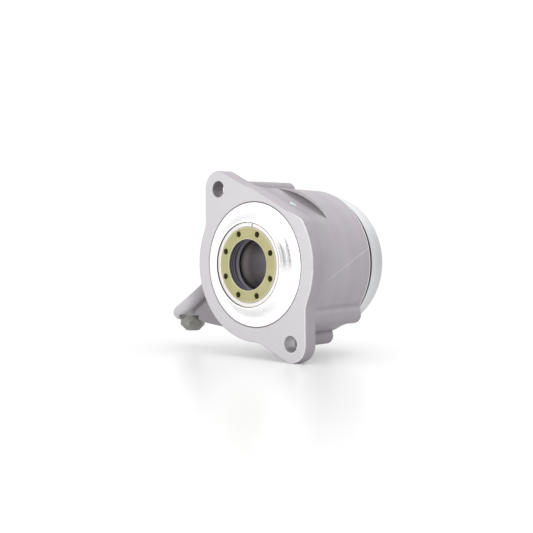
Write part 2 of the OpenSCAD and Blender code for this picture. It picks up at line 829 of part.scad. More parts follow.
// Outer bearing ring, which stands still in the shell
module bearing_fixed_ring() {
    color([0.7, 0.71, 0.73])
        turned()
            difference() {
                union() {
                    translate([fixed_land_r, bearing_seat])
                        square([fixed_ring_r - fixed_land_r, fixed_ring_w]);
                    translate([fixed_shoulder_r, bearing_seat])
                        square([fixed_ring_r - fixed_shoulder_r, ball_y - bearing_seat]);
                }
                translate([ball_pitch_r, ball_y])
                    circle(groove_r);
            }
}

// Inner bearing ring, whose rounded face turns with the clutch fingers
module bearing_thrust_ring() {
    nose_r = thrust_nose_r - thrust_round;
    nose_y = thrust_end - thrust_round;
    color([0.62, 0.63, 0.65])
        turned()
            difference() {
                union() {
                    translate([thrust_in_r, thrust_front])
                        square([thrust_land_r - thrust_in_r, ball_y - thrust_front]);
                    polygon([[thrust_in_r, ball_y], [thrust_shoulder_r, ball_y],
                             [thrust_shoulder_r, thrust_nose_front],
                             [thrust_nose_r, thrust_nose_front], [thrust_nose_r, nose_y],
                             [nose_r, thrust_end], [thrust_in_r + thrust_round, thrust_end],
                             [thrust_in_r, nose_y]]);
                    intersection() {
                        translate([nose_r, nose_y])
                            circle(thrust_round);
                        translate([nose_r, nose_y])
                            square(thrust_round);
                    }
                }
                translate([ball_pitch_r, ball_y])
                    circle(groove_r);
            }
}

// Flat shield that closes the bearing
module bearing_shield() {
    color([0.2, 0.2, 0.21])
        tube(shield_in_r, shield_out_r, shield_front, shield_rear);
}

// Balls on their circle
module bearing_balls() {
    color([0.8, 0.8, 0.82])
        for (k = [0 : ball_count - 1])
            rotate([0, k * 360 / ball_count, 0])
                translate([ball_pitch_r, ball_y, 0])
                    sphere(ball_r);
}

// Conical crown cage with a pocket for each ball, open towards the shield
module bearing_cage() {
    color([0.55, 0.45, 0.3])
        difference() {
            turned()
                polygon([[thrust_land_r + free_gap, cage_front],
                         [fixed_shoulder_r - 2 * free_gap, cage_front],
                         [fixed_land_r - free_gap, cage_rear],
                         [thrust_shoulder_r + 2 * free_gap, cage_rear]]);
            for (k = [0 : ball_count - 1])
                rotate([0, k * 360 / ball_count, 0])
                    translate([thrust_in_r, ball_y, 0])
                        rotate([0, 90, 0])
                            cylinder(r = groove_r, h = fixed_ring_r - thrust_in_r);
        }
}

// Hexagon union that the oil pipe goes into
module inlet_union() {
    cone_h = (hex_r - port_boss_r) * tan(hex_top_slope);
    foot_h = hex_r - hex_foot_r;
    color([0.45, 0.45, 0.42])
        difference() {
            union() {
                along_port(union_thread_r - seat_gap, hex_top_z - over, port_face_z + union_thread_l);
                intersection() {
                    translate([port[0], port_y, hex_bottom_z])
                        cylinder(r = hex_r, h = hex_h, $fn = 6);
                    translate([port[0], port_y, 0])
                        rotate_extrude()
                            polygon([[0, hex_bottom_z], [hex_foot_r, hex_bottom_z],
                                     [hex_r, hex_bottom_z + foot_h], [hex_r, hex_top_z - cone_h],
                                     [port_boss_r, hex_top_z], [0, hex_top_z]]);
                }
            }
            along_port(union_bore_r, hex_bottom_z - over, port_face_z + union_thread_l + over);
            along_port(inlet_r, hex_bottom_z - over, hex_bottom_z + inlet_l);
        }
}

// Soft washer that seals the union on the port boss
module union_washer() {
    color([0.78, 0.76, 0.72])
        difference() {
            along_port(washer_r, hex_top_z, port_face_z);
            along_port(union_thread_r + seat_gap, hex_top_z - over, port_face_z + over);
        }
}

// Plug pressed into the outer end of the gallery
module gallery_plug() {
    color([0.6, 0.6, 0.6])
        along_arm(plug_r - seat_gap / 2, arm_tip - plug_l, arm_tip - plug_l / 4);
}

housing();
end_cap();
cap_seal_ring();
retainer_ring();
snap_ring();
seal_case();
shaft_seal();
garter_spring();
guide_sleeve();
sleeve_seal_ring();
travel_stop_ring();
piston();
piston_seal();
seal_backing_ring();
piston_guide_ring();
sleeve_guide_ring();
preload_spring();
dust_sleeve();
bearing_shell();
bearing_fixed_ring();
bearing_shield();
bearing_thrust_ring();
bearing_balls();
bearing_cage();
inlet_union();
union_washer();
gallery_plug();
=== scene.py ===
"""Concentric slave cylinder: looks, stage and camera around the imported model."""
import json
import math
from functools import partialmethod

import bmesh
import bpy
from mathutils import Matrix, Vector


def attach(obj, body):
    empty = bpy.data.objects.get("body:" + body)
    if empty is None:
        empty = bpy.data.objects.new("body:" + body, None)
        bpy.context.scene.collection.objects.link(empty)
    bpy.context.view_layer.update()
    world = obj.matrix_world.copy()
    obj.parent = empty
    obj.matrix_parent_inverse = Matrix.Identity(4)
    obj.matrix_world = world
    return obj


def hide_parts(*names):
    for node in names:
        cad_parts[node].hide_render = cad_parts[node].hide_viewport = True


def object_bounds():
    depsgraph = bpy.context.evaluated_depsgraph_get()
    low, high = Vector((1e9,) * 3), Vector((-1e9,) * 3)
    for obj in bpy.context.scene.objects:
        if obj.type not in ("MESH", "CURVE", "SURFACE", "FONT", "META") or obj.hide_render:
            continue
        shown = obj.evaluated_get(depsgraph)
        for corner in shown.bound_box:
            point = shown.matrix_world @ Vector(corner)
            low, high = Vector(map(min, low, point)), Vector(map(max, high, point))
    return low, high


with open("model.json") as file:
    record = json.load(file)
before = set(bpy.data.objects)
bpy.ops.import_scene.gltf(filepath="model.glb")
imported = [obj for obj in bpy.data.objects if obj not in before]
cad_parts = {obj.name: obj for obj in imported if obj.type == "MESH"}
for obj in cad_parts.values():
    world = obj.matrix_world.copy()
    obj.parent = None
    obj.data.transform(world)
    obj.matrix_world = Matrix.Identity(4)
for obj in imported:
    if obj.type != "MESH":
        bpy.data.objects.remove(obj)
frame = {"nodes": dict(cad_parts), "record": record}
CAD_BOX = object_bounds()

bl_info = {
    "name": "Concentric Slave Cylinder",
    "version": (1, 0, 0),
    "blender": (4, 5, 0),
    "location": "View3D > Sidebar > Cylinder",
    "description": "Dresses the slave cylinder's solids and sets up its studio",
    "category": "Object",
}

MM = 0.001
MERGE = 1e-6
TURN_STEPS = 144
SHARP = math.radians(30)
FLAT_ENOUGH = math.radians(0.4)
AXIS = (0, 1, 0)
FACE_WEIGHT = 60
FLAT_ANGLE = math.radians(64.5)
FLAT_D = 38.0 * MM
WALL_R = 42.85 * MM
ARM_ANGLE = math.radians(214)
ARM_SIDE = Vector((math.sin(ARM_ANGLE), -math.cos(ARM_ANGLE)))


# Settings

def number_setting(title, words, value, **more):
    return bpy.props.FloatProperty(name=title, description=words, default=value, **more)


def length_setting(title, words, value, least=0):
    return number_setting(title, words, value, min=least, unit="LENGTH", precision=5)


def colour_setting(title, words, value):
    return bpy.props.FloatVectorProperty(name=title, description=words, default=value,
                                         subtype="COLOR", min=0, max=1)


class CastingSettings(bpy.types.PropertyGroup):
    """Sizes and colours of the cast housing."""
    face_edge: length_setting(
        "Face edge", "Width of the broken edge round the flange face", 0.7 * MM)
    hole_edge: length_setting("Hole edge", "Width of the broken edge at the bolt holes", 0.35 * MM)
    boss_blend: length_setting(
        "Boss blend", "Radius of the wide hollow round between the long bosses and the skirt",
        8.0 * MM, least=0.5 * MM)
    boss_hollow: length_setting(
        "Boss hollow", "Radius of the hollow round on the long bosses' other side",
        3.0 * MM, least=0.5 * MM)
    seam_height: length_setting("Seam height", "Height of the mould seam on the skirt", 0.12 * MM)
    seam_width: length_setting("Seam width", "Half the width of the mould seam", 0.22 * MM)
    skin: colour_setting("Skin", "Colour of the blasted casting", (0.495, 0.459, 0.496))
    skin_dark: colour_setting(
        "Dark skin", "Colour of the casting in its duller patches", (0.425, 0.393, 0.422))
    # Painted shade: the darkest tone, on the wall at the end of the flat and in a band on the
    # gusset under the arm
    recess: colour_setting(
        "Recess", "Colour of the dull wall at the end of the flat", (0.17, 0.157, 0.17))
    # Painted shade: a softer tone, on that wall's lower half, the gusset, the shaded bosses, the
    # upper bolt holes, the port boss, the boss blends, the skirt behind the flange and the arm's
    # root
    soft_shade: colour_setting(
        "Recess foot", "Colour of that wall's lower half and of the gusset", (0.305, 0.285, 0.305))
    # Colour of the machined faces, also painted as a highlight along the top of the wall at the end
    # of the flat and on the port arm's end
    bare_and_lit: colour_setting(
        "Bare metal", "Colour of the machined faces and rubbed edges", (0.60, 0.585, 0.605))
    # Worn edges and the seam, and also a painted highlight on the flange's right edges and along
    # the skirt's back rim
    rubbed_and_lit: colour_setting(
        "Rubbed edges", "Colour of the edges that are rubbed bright", (0.74, 0.725, 0.74))
    dab: colour_setting("Paint dab", "Colour of the inspector's paint dab", (0.52, 0.80, 0.75))


class TurnedSettings(bpy.types.PropertyGroup):
    """Edges and colours of the turned, pressed and moulded parts."""
    turned_edge: length_setting(
        "Turned edge", "Width of the rounded edges of turned parts", 0.25 * MM)
    pressed_edge: length_setting(
        "Pressed edge", "Width of the rounded edges of pressed and stamped parts", 0.18 * MM)
    hub_blend: length_setting(
        "Hub blend", "Width of the hollow round at the foot of the end cap's hub", 1.4 * MM)
    cap: colour_setting("End cap", "Colour of the bright turned end cap", (0.95, 0.95, 0.955))
    # Painted shadow: dark lines in the gaps at the cap's seat and round the hub's bore
    gap_shadow: colour_setting(
        "Oil line", "Colour of the oily line round the hub's bore", (0.2, 0.19, 0.185))
    passivated: colour_setting(
        "Retainer", "Colour of the yellow passivated retainer", (0.405, 0.374, 0.192))
    passivated_green: colour_setting(
        "Retainer tint", "Greener tint in the passivation", (0.375, 0.357, 0.17))
    ring: colour_setting("Spring rings", "Colour of the bright stamped rings", (0.74, 0.715, 0.70))
    rubber: colour_setting("Rubber", "Colour of the seals", (0.085, 0.074, 0.1))
    sleeve: colour_setting("Guide sleeve", "Colour of the dark ground sleeve", (0.30, 0.28, 0.295))
    # Painted light: the sleeve's front end is painted lighter
    sleeve_lit_front: colour_setting(
        "Sleeve front", "Colour of the guide sleeve's front end", (0.60, 0.555, 0.53))
    shell: colour_setting(
        "Bearing shell", "Colour of the plated bearing shell", (0.58, 0.585, 0.595))
    union: colour_setting("Inlet union", "Colour of the plated union", (0.345, 0.342, 0.315))


class StageSettings(bpy.types.PropertyGroup):
    """Camera and studio light."""
    azimuth: number_setting(
        "Azimuth", "Camera's turn round the part, from the flange face towards +X",
        math.radians(42.56), subtype="ANGLE")
    elevation: number_setting(
        "Elevation", "Camera's height above the horizon", math.radians(2.51), subtype="ANGLE")
    roll: number_setting(
        "Roll", "Camera's turn about its own line of sight", math.radians(0.35), subtype="ANGLE")
    distance: number_setting(
        "Distance", "Distance from the camera to the flange face", 0.63092, unit="LENGTH")
    aim: bpy.props.FloatVectorProperty(
        name="Aim", description="Place of the flange face's centre in the picture, right and up",
        size=2, default=(-0.007306, 0.001006), subtype="TRANSLATION", precision=5)
    lens: number_setting("Lens", "Focal length on a 36 mm sensor", 76.7, unit="CAMERA")
    backdrop: colour_setting(
        "Backdrop", "Colour of the backdrop that the camera sees", (1.0, 1.0, 1.0))
    fill: number_setting("Fill", "Strength of the light from the horizon", 0.76, min=0)
    sky: number_setting("Sky", "Strength added overhead", 0.08, min=0)
    ground: number_setting("Ground", "Share of the fill that comes from below", 0.92, min=0, max=1)
    shine: number_setting(
        "Shine", "Share of the fill that bright metal mirrors from below", 0.95, min=0, max=1)
    top_power: number_setting(
        "Top light", "Power of the softbox above and to the right of the part", 1.8, unit="POWER")
    card_power: number_setting(
        "Front light", "Power of the softbox in front of the flange", 3.3, unit="POWER")


# Shader expressions

class Tone:
    """A socket of a finish that is used in Python expressions."""

    def __init__(self, finish, socket):
        self.finish = finish
        self.socket = socket

    def math(self, operation, first, second=0.0):
        return self.finish.node("ShaderNodeMath", {"operation": operation}, {0: first, 1: second})

    def before(self, operation, other):
        return self.math(operation, self, other)

    def after(self, operation, other):
        return self.math(operation, other, self)

    __add__, __radd__ = partialmethod(before, "ADD"), partialmethod(after, "ADD")
    __sub__, __rsub__ = partialmethod(before, "SUBTRACT"), partialmethod(after, "SUBTRACT")
    __mul__, __rmul__ = partialmethod(before, "MULTIPLY"), partialmethod(after, "MULTIPLY")
    __truediv__ = partialmethod(before, "DIVIDE")
    __pow__ = partialmethod(before, "POWER")

    def __abs__(self):
        return self.math("ABSOLUTE", self)


class NodeTree:
    """A node tree whose nodes are added from expressions."""

    def __init__(self, tree):
        self.tree = tree

    def node(self, kind, settings=None, inputs=None, output=0):
        """Adds a node, sets it up before its sockets, and gives one of its outputs."""
        made = self.tree.nodes.new(kind)
        for name, value in (settings or {}).items():
            if name == "stops":
                self.set_stops(made.color_ramp, value)
            else:
                setattr(made, name, value)
        for name, value in (inputs or {}).items():
            self.feed(made.inputs[name], value)
        return Tone(self, made.outputs[output])

    def set_stops(self, ramp, stops):
        while len(ramp.elements) < len(stops):
            ramp.elements.new(1.0)
        for element, (position, colour) in zip(ramp.elements, stops):
            element.position = position
            element.color = colour

    def feed(self, socket, value):
        if isinstance(value, Tone):
            self.tree.links.new(value.socket, socket)
        elif socket.type == "RGBA":
            socket.default_value = (*value[:3], 1.0)
        else:
            socket.default_value = value

    def place(self):
        return self.node("ShaderNodeTexCoord", output="Object")

    def xyz(self, vector):
        split = self.node("ShaderNodeSeparateXYZ", None, {0: vector}).socket.node
        return [Tone(self, socket) for socket in split.outputs]

    def combine(self, x, y, z):
        return self.node("ShaderNodeCombineXYZ", None, {0: x, 1: y, 2: z})

    def attribute(self, name):
        return self.node("ShaderNodeAttribute", {"attribute_name": name}, output="Fac")

    def light_path(self, ray):
        return self.node("ShaderNodeLightPath", output=ray)

    def noise(self, vector, scale, detail):
        """Noise in space, with its scale per metre."""
        return self.node("ShaderNodeTexNoise", {"noise_dimensions": "3D"},
                         {"Vector": vector, "Scale": scale, "Detail": detail, "Roughness": 0.5})

    def grain(self, value, scale, detail):
        """Noise along one value, with its scale per metre."""
        return self.node("ShaderNodeTexNoise", {"noise_dimensions": "1D"},
                         {"W": value, "Scale": scale, "Detail": detail})

    def step(self, value, low, high, start=0.0, end=1.0):
        """A smooth change from start to end over a span of values."""
        return self.node("ShaderNodeMapRange", {"interpolation_type": "SMOOTHSTEP"},
                         {0: value, 1: low, 2: high, 3: start, 4: end})

    def fade(self, value, low, high):
        return self.step(value, low, high, 1.0, 0.0)

    def band(self, value, rise, fall):
        """A mask that comes in over one span of values and goes out over a later one."""
        return self.step(value, *rise) * self.fade(value, *fall)

    def mix(self, mask, first, second):
        return self.node("ShaderNodeMix", {"data_type": "RGBA"},
                         {0: mask, 6: first, 7: second}, output=2)

    def length(self, x, y):
        return (x * x + y * y) ** 0.5


class Finish(NodeTree):
    """A material with one Principled BSDF."""

    def __init__(self, name, **fixed):
        self.material = bpy.data.materials.new(name)
        self.material.use_nodes = True
        super().__init__(self.material.node_tree)
        self.shader = self.tree.nodes["Principled BSDF"]
        for socket, value in fixed.items():
            self.put(socket.replace("_", " ").title().replace("Ior", "IOR"), value)

    def put(self, socket, value):
        self.feed(self.shader.inputs[socket], value)

    def smears(self, place):
        """Cloudy noise for handled metal, and the mask of its duller patches."""
        smear = self.noise(place, scale=130, detail=3)
        return smear, self.step(smear, 0.45, 0.8)

    def bump(self, height, distance):
        self.put("Normal", self.node("ShaderNodeBump", None,
                                     {"Strength": 1.0, "Distance": distance, "Height": height}))


# Finishes

# Spans on the casting over which painted shades and painted highlights come in or go out
FLANGE_BACK = (8.4 * MM, 9.4 * MM)
ROOT_END = (9.5 * MM, 19 * MM)
ROOT_HEIGHT = (15 * MM, 30 * MM)
RIM_FRONT = (0.7 * MM, 1.0 * MM)
RIM_RIGHT = (26 * MM, 38 * MM)
# Painted shadow under the arm on the gusset, and the arm's extent with its painted shade at the
# root and painted highlight at the end
SHADOW_STRIP = ((8.0 * MM, 9.2 * MM), (11.5 * MM, 12.5 * MM))
ARM_ROOT = (-44.5 * MM, -43.5 * MM)
ARM_FRONT = (8.7 * MM, 9.4 * MM)
ARM_FOOT_SHADOW = (-58 * MM, -46 * MM)
ARM_END_LIGHT = (-66 * MM, -54 * MM)
# A painted highlight along the skirt's back rim, and the span over which the worn edges become a
# stronger painted highlight on the right
SKIRT_END_LIGHT = ((50.8 * MM, 51.1 * MM), (51.5 * MM, 51.8 * MM))
EDGE_LIGHT_RIGHT = (22 * MM, 32 * MM)

# How strong those painted shades and highlights are
ROOT_SHADE, ROOT_LOW = 0.5, 0.55
RIM_SHADE = 0.36
STRIP_SHADE = 0.85
ARM_SHADE = 0.8
EDGE_LIGHT_LEFT = 0.15

# Spans up the wall at the end of the flat, as shares of its height: its painted shade, a paler
# streak in that shade and the painted highlight along its top
WALL_DARK = (-0.1, 0.34)
WALL_STREAK = ((0.2, 0.26), (0.3, 0.36))
WALL_BRIGHT = (0.55, 0.68)

# Spans on the turned, pressed and moulded parts
LATHE_LEAN = 0.7
HUB_FRONT = (-0.6 * MM, 0.1 * MM)
HUB_WAVES = 880
HUB_WAVE_START = 0.9
WAVE_RIGHT = (-6 * MM, 12 * MM)
SOFT_LEFT = (-4 * MM, 16 * MM)
# Painted shadow lines in the gaps at the cap's seat and round the hub's bore
CAP_SEAT = (34.58 * MM, 34.72 * MM)
HUB_BORE = (23.68 * MM, 23.95 * MM)
# Painted light on the sleeve's front end and painted shadow at its very front
SLEEVE_LIT_FRONT = (8.5 * MM, 13 * MM)
SLEEVE_LEAD = (5.2 * MM, 7.2 * MM)
# Painted light on the shell's front and painted shade towards its back
SHELL_TURN = (57 * MM, 65 * MM)
SHELL_LIT_GAIN, SHELL_SHADED_LOSS = 1.08, 0.9
# The first span is a painted highlight along the retainer's inner edge
RETAINER_LIP_HIGHLIGHT = (14.55 * MM, 14.9 * MM)
RETAINER_EDGE = (20.1 * MM, 21.3 * MM)
# Where the painted highlights and painted shadow on the seal's lips lie
SEAL_LIPS = (16.2 * MM, 16.6 * MM)
SEAL_DEPTH = (-4 * MM, 5 * MM)

# Second colours of the finishes
DRY_PAINT = (0.82, 0.95, 0.92)
DULL_CAP = (0.84, 0.83, 0.84)
SLEEVE_SMEAR = (0.25, 0.23, 0.24)
SLEEVE_SHADOW = (0.05, 0.045, 0.05)
# Colour of the painted highlight along the retainer's inner edge
RETAINER_HIGHLIGHT = (0.66, 0.63, 0.46)
RETAINER_BARE = (0.72, 0.70, 0.62)
BLOOM_GAIN = 2.2

# Painted highlight rings and painted shadow along the depth of the seal's lips
LIP_LIGHT_AND_SHADE = (
    (0.0, (0.008, 0.006, 0.01, 1)), (0.14, (0.012, 0.01, 0.014, 1)),
    (0.18, (0.26, 0.225, 0.33, 1)), (0.22, (0.04, 0.034, 0.052, 1)),
    (0.32, (0.05, 0.043, 0.065, 1)), (0.36, (0.42, 0.38, 0.50, 1)),
    (0.40, (0.045, 0.038, 0.057, 1)), (0.53, (0.03, 0.026, 0.034, 1)),
    (0.62, (0.02, 0.018, 0.022, 1)), (0.72, (0.34, 0.33, 0.36, 1)),
    (0.84, (0.2, 0.19, 0.21, 1)), (0.93, (0.02, 0.018, 0.02, 1)),
)


def flat_end(made, casting, x, z):
    """Painted shade on the wall at the end of the flat, softer at its foot and darkest higher up
    with a paler streak, and a painted highlight along its top.
    """
    rise = x * math.cos(FLAT_ANGLE) + z * math.sin(FLAT_ANGLE) - FLAT_D
    sunk = WALL_R - made.length(x, z)
    height = rise / (rise + sunk)
    dark = made.step(height, *WALL_DARK) - made.band(height, *WALL_STREAK) * 0.3
    wall = made.mix(dark, casting.soft_shade, casting.recess)
    return made.mix(made.step(height, *WALL_BRIGHT), wall, casting.bare_and_lit)


def flange_shadows(made, x, y, z, recess):
    """Mask of the darker skirt behind the flange and of the flange's right rim."""
    root = made.step(y, *FLANGE_BACK) * made.step(y, *ROOT_END, ROOT_SHADE, 0.0)
    root = root * made.step(z, *ROOT_HEIGHT, ROOT_LOW, 1.0) * (1 - recess)
    side = made.step(y, *RIM_FRONT) * made.step(y, *FLANGE_BACK, RIM_SHADE, 0.0)
    return root + side * made.step(x, *RIM_RIGHT)


def arm_tones(made, casting, skin, x, y, z, shade):
    """The skin with a painted shadow band on the gusset under the arm, and painted shade at the
    port arm's root and a painted highlight at its end.
    """
    below = x * ARM_SIDE.x + z * ARM_SIDE.y
    shadow_strip = made.band(below, *SHADOW_STRIP) * shade
    skin = made.mix(shadow_strip * STRIP_SHADE, skin, casting.recess)
    arm = made.fade(x, *ARM_ROOT) * made.step(y, *ARM_FRONT)
    skin = made.mix(arm * made.step(x, *ARM_FOOT_SHADOW, 0.0, ARM_SHADE), skin, casting.soft_shade)
    return made.mix(arm * made.fade(x, *ARM_END_LIGHT) * (1 - shade), skin, casting.bare_and_lit)


def cast_aluminium(casting):
    """Blasted casting with machined faces, worn edges and a slight mottle, with painted shade in
    its hollows and painted highlights on some edges and ends.
    """
    made = Finish("cast_aluminium", metallic=0.55, roughness=0.5)
    place = made.place()
    x, y, z = made.xyz(place)
    worn, cut = made.attribute("worn_edge"), made.attribute("machined")
    recess, shade = made.attribute("recess"), made.attribute("shade")
    mottle = made.noise(place, scale=70, detail=3)
    blotch = made.step(made.noise(place, scale=26, detail=2), 0.35, 0.7)
    speck = made.noise(place, scale=1600, detail=2)
    band = made.step(made.grain(y, scale=150, detail=1), 0.35, 0.65)
    skin = made.mix(blotch * 0.4 + mottle * 0.3 + band * 0.3, casting.skin_dark, casting.skin)
    # Painted shade and a painted highlight on the wall at the end of the flat
    skin = made.mix(recess, skin, flat_end(made, casting, x, z))
    # Painted shade on the gusset, the bosses behind the flange, the upper bolt holes, the port boss
    # and the boss blends
    skin = made.mix(shade, skin, casting.soft_shade)
    shadow = flange_shadows(made, x, y, z, recess) * (1 - shade)
    skin = made.mix(shadow, skin, casting.soft_shade)
    skin = arm_tones(made, casting, skin, x, y, z, shade)
    # Worn edges and the seam, made brighter as a painted highlight on the right and along the
    # skirt's back rim
    rubbed_and_lit = made.step(made.noise(place, scale=150, detail=2), 0.15, 0.5) * worn
    rubbed_and_lit = rubbed_and_lit * made.step(x, *EDGE_LIGHT_RIGHT, EDGE_LIGHT_LEFT, 1.0)
    rubbed_and_lit = rubbed_and_lit.math("MAXIMUM", rubbed_and_lit, made.band(y, *SKIRT_END_LIGHT))
    lines = made.noise(made.combine(x * 30, z * 2600, y), scale=1, detail=2)
    metal = made.mix(lines * 0.35, casting.bare_and_lit, casting.skin)
    bright = cut.math("MAXIMUM", cut, rubbed_and_lit)
    made.put("Base Color", made.mix(rubbed_and_lit, made.mix(cut, skin, metal), casting.rubbed_and_lit))
    made.put("Roughness", 0.5 + mottle * 0.1 + speck * 0.08 - bright * (0.12 - lines * 0.1))
    made.put("Metallic", 0.5 + bright * 0.3)
    made.bump(speck * (1 - cut * 0.85) + mottle * 0.6, 0.06 * MM)
    return made.material


def paint(dab):
    """Thin brushed paint."""
    made = Finish("marking_paint", metallic=0.0, roughness=0.45)
    streak = made.noise(made.place(), scale=900, detail=2)
    made.put("Base Color", made.mix(streak * 0.5, dab, DRY_PAINT))
    made.put("Roughness", 0.35 + streak * 0.25)
    made.bump(streak, 0.02 * MM)
    return made.material


def turned_metal(name, colour, dull, rough, pitch, depth):
    """Bright metal with the fine rings that a lathe tool leaves."""
    made = Finish(name, metallic=1.0, roughness=rough)
    place = made.place()
    x, y, z = made.xyz(place)
    along = made.length(x, z) + y * LATHE_LEAN
    ring = made.grain(along, scale=1 / pitch, detail=2)
    wide = made.grain(along, scale=0.12 / pitch, detail=1)
    smear, patch = made.smears(place)
    made.put("Base Color", made.mix(ring * 0.25 + patch * 0.3, colour, dull))
    made.put("Roughness", rough + (wide - 0.5) * 0.12 + smear * 0.06)
    made.bump(ring * 0.6 + wide * 0.4, depth)
    return made.material


def turned_hub(turned):
    """Bright turned aluminium with broad tool waves on the hub, and painted shadow lines round its
    bore and at its seat.
    """
    made = Finish("turned_aluminium", metallic=1.0, roughness=0.2)
    place = made.place()
    x, y, z = made.xyz(place)
    radius = made.length(x, z)
    along = radius + y * LATHE_LEAN
    ring = made.grain(along, scale=1500, detail=2)
    wander = made.grain(along, scale=900, detail=1)
    smear, patch = made.smears(place)
    hub = made.fade(y, *HUB_FRONT)
    wave = along.math("SINE", along * HUB_WAVES + wander - HUB_WAVE_START)
    wave = wave * hub * made.step(x, *WAVE_RIGHT, 0.1, 1.0)
    soft = hub * made.step(x, *SOFT_LEFT, 0.3, 0.0)
    # Painted shadow lines in the gaps at the cap's seat and round the hub's bore
    gap_shadow = made.step(radius, *CAP_SEAT) + made.fade(radius, *HUB_BORE)
    metal = made.mix(ring * 0.2 + patch * 0.3, turned.cap, DULL_CAP)
    made.put("Base Color", made.mix(gap_shadow, metal, turned.gap_shadow))
    made.put("Roughness", 0.18 + smear * 0.06 + gap_shadow * 0.25 + soft)
    made.bump(ring * 0.05 + wave, 0.09 * MM)
    return made.material


def ground_sleeve(turned):
    """Dark ground steel with painted light on its front end, which is lighter and browner, and
    painted shadow at its very front.
    """
    made = Finish("sleeve_steel", metallic=1.0, roughness=0.32)
    place = made.place()
    x, y, z = made.xyz(place)
    line = made.grain(y, scale=1100, detail=2)
    smear, patch = made.smears(place)
    # Painted light on the sleeve's front end
    tone = made.mix(made.fade(y, *SLEEVE_LIT_FRONT), turned.sleeve, turned.sleeve_lit_front)
    tone = made.mix(line * 0.25 + patch * 0.25, tone, SLEEVE_SMEAR)
    # Painted shadow at the sleeve's very front
    lead = made.step(y, *SLEEVE_LEAD, 0.75, 0.0)
    made.put("Base Color", made.mix(lead, tone, SLEEVE_SHADOW))
    made.put("Roughness", 0.28 + smear * 0.1)
    made.bump(line, 0.01 * MM)
    return made.material


def plated_sheet(name, colour, dull, rough):
    """Drawn and plated sheet with fine lines round its axis, with painted light towards the front
    and painted shade towards the back.
    """
    made = Finish(name, metallic=1.0, roughness=rough)
    place = made.place()
    x, y, z = made.xyz(place)
    line = made.grain(y + made.length(x, z) * 0.4, scale=5200, detail=3)
    band = made.grain(y, scale=420, detail=2)
    cloud = made.noise(place, scale=85, detail=3)
    # Lit and shaded copies of the colours: painted light on the front, painted shade on the back
    pale, shaded_back = [c * SHELL_LIT_GAIN for c in colour], [c * SHELL_SHADED_LOSS for c in dull]
    tone = made.mix(made.step(y, *SHELL_TURN), pale, shaded_back)
    made.put("Base Color", made.mix(line * 0.3 + cloud * 0.35, tone, dull))
    made.put("Roughness", rough + (band - 0.5) * 0.1 + cloud * 0.1)
    made.bump(line * 0.5 + band * 0.5, 0.03 * MM)
    return made.material


def passivated(turned):
    """Yellow passivated pressing with a greener bloom and a painted highlight along its inner edge.
    """
    made = Finish("passivated_steel", metallic=0.75, roughness=0.4)
    place = made.place()
    x, y, z = made.xyz(place)
    radius = made.length(x, z)
    bloom = made.step(made.noise(place, scale=160, detail=3), 0.3, 0.7)
    line = made.grain(radius, scale=6000, detail=2)
    # Painted highlight along the retainer's inner edge
    lip_highlight = made.fade(radius, *RETAINER_LIP_HIGHLIGHT)
    edge = made.step(radius, *RETAINER_EDGE)
    pale = made.mix(bloom, turned.passivated, turned.passivated_green)
    pale = made.mix(line * 0.18 + lip_highlight * 0.6, pale, RETAINER_HIGHLIGHT)
    made.put("Base Color", made.mix(edge * 0.75, pale, RETAINER_BARE))
    made.put("Roughness", 0.36 + bloom * 0.12 + line * 0.06)
    made.bump(line * 0.4 + bloom * 0.6, 0.02 * MM)
    return made.material


def rubber(name, colour, sheen):
    """Smooth rubber with a waxy bloom, and painted highlight rings and painted shadow along the
    seal's lips.
    """
    made = Finish(name, metallic=0.0, roughness=0.38, coat_weight=sheen, coat_roughness=0.3)
    place = made.place()
    x, y, z = made.xyz(place)
    radius = made.length(x, z)
    bloom = made.noise(place, scale=240, detail=3)
    ring = made.grain(radius + y, scale=4200, detail=1)
    low, high = SEAL_DEPTH
    depth = made.node("ShaderNodeMapRange", None, {0: y, 1: low, 2: high})
    # Painted highlight rings and painted shadow by depth on the seal's lips
    lip_light = made.node("ShaderNodeValToRGB", {"stops": LIP_LIGHT_AND_SHADE}, {0: depth})
    pale = [c * BLOOM_GAIN for c in colour]
    body = made.mix(made.step(bloom, 0.4, 0.8) * 0.5, colour, pale)
    made.put("Base Color", made.mix(made.fade(radius, *SEAL_LIPS), body, lip_light))
    made.put("Roughness", 0.3 + bloom * 0.25)
    made.bump(ring * 0.5 + bloom * 0.5, 0.02 * MM)
    return made.material


def plastic(name, colour, pale, rough):
    """Moulded plastic with a fine spark-eroded grain."""
    made = Finish(name, metallic=0.0, roughness=rough)
    place = made.place()
    flow = made.noise(place, scale=90, detail=3)
    grain = made.noise(place, scale=2600, detail=1)
    made.put("Base Color", made.mix(made.step(flow, 0.35, 0.75) * 0.6, colour, pale))
    made.put("Roughness", rough + (grain - 0.5) * 0.14)
    made.bump(grain, 0.03 * MM)
    return made.material


def dull_steel(name, colour, tint, rough, metallic=0.85):
    """Plated or oiled steel with a soft change of tint."""
    made = Finish(name, metallic=metallic, roughness=rough)
    place = made.place()
    cloud = made.step(made.noise(place, scale=150, detail=3), 0.3, 0.75)
    fine = made.noise(place, scale=1900, detail=2)
    made.put("Base Color", made.mix(cloud * 0.7 + fine * 0.2, colour, tint))
    made.put("Roughness", rough + (cloud - 0.5) * 0.12 + fine * 0.06)
    made.bump(fine, 0.03 * MM)
    return made.material


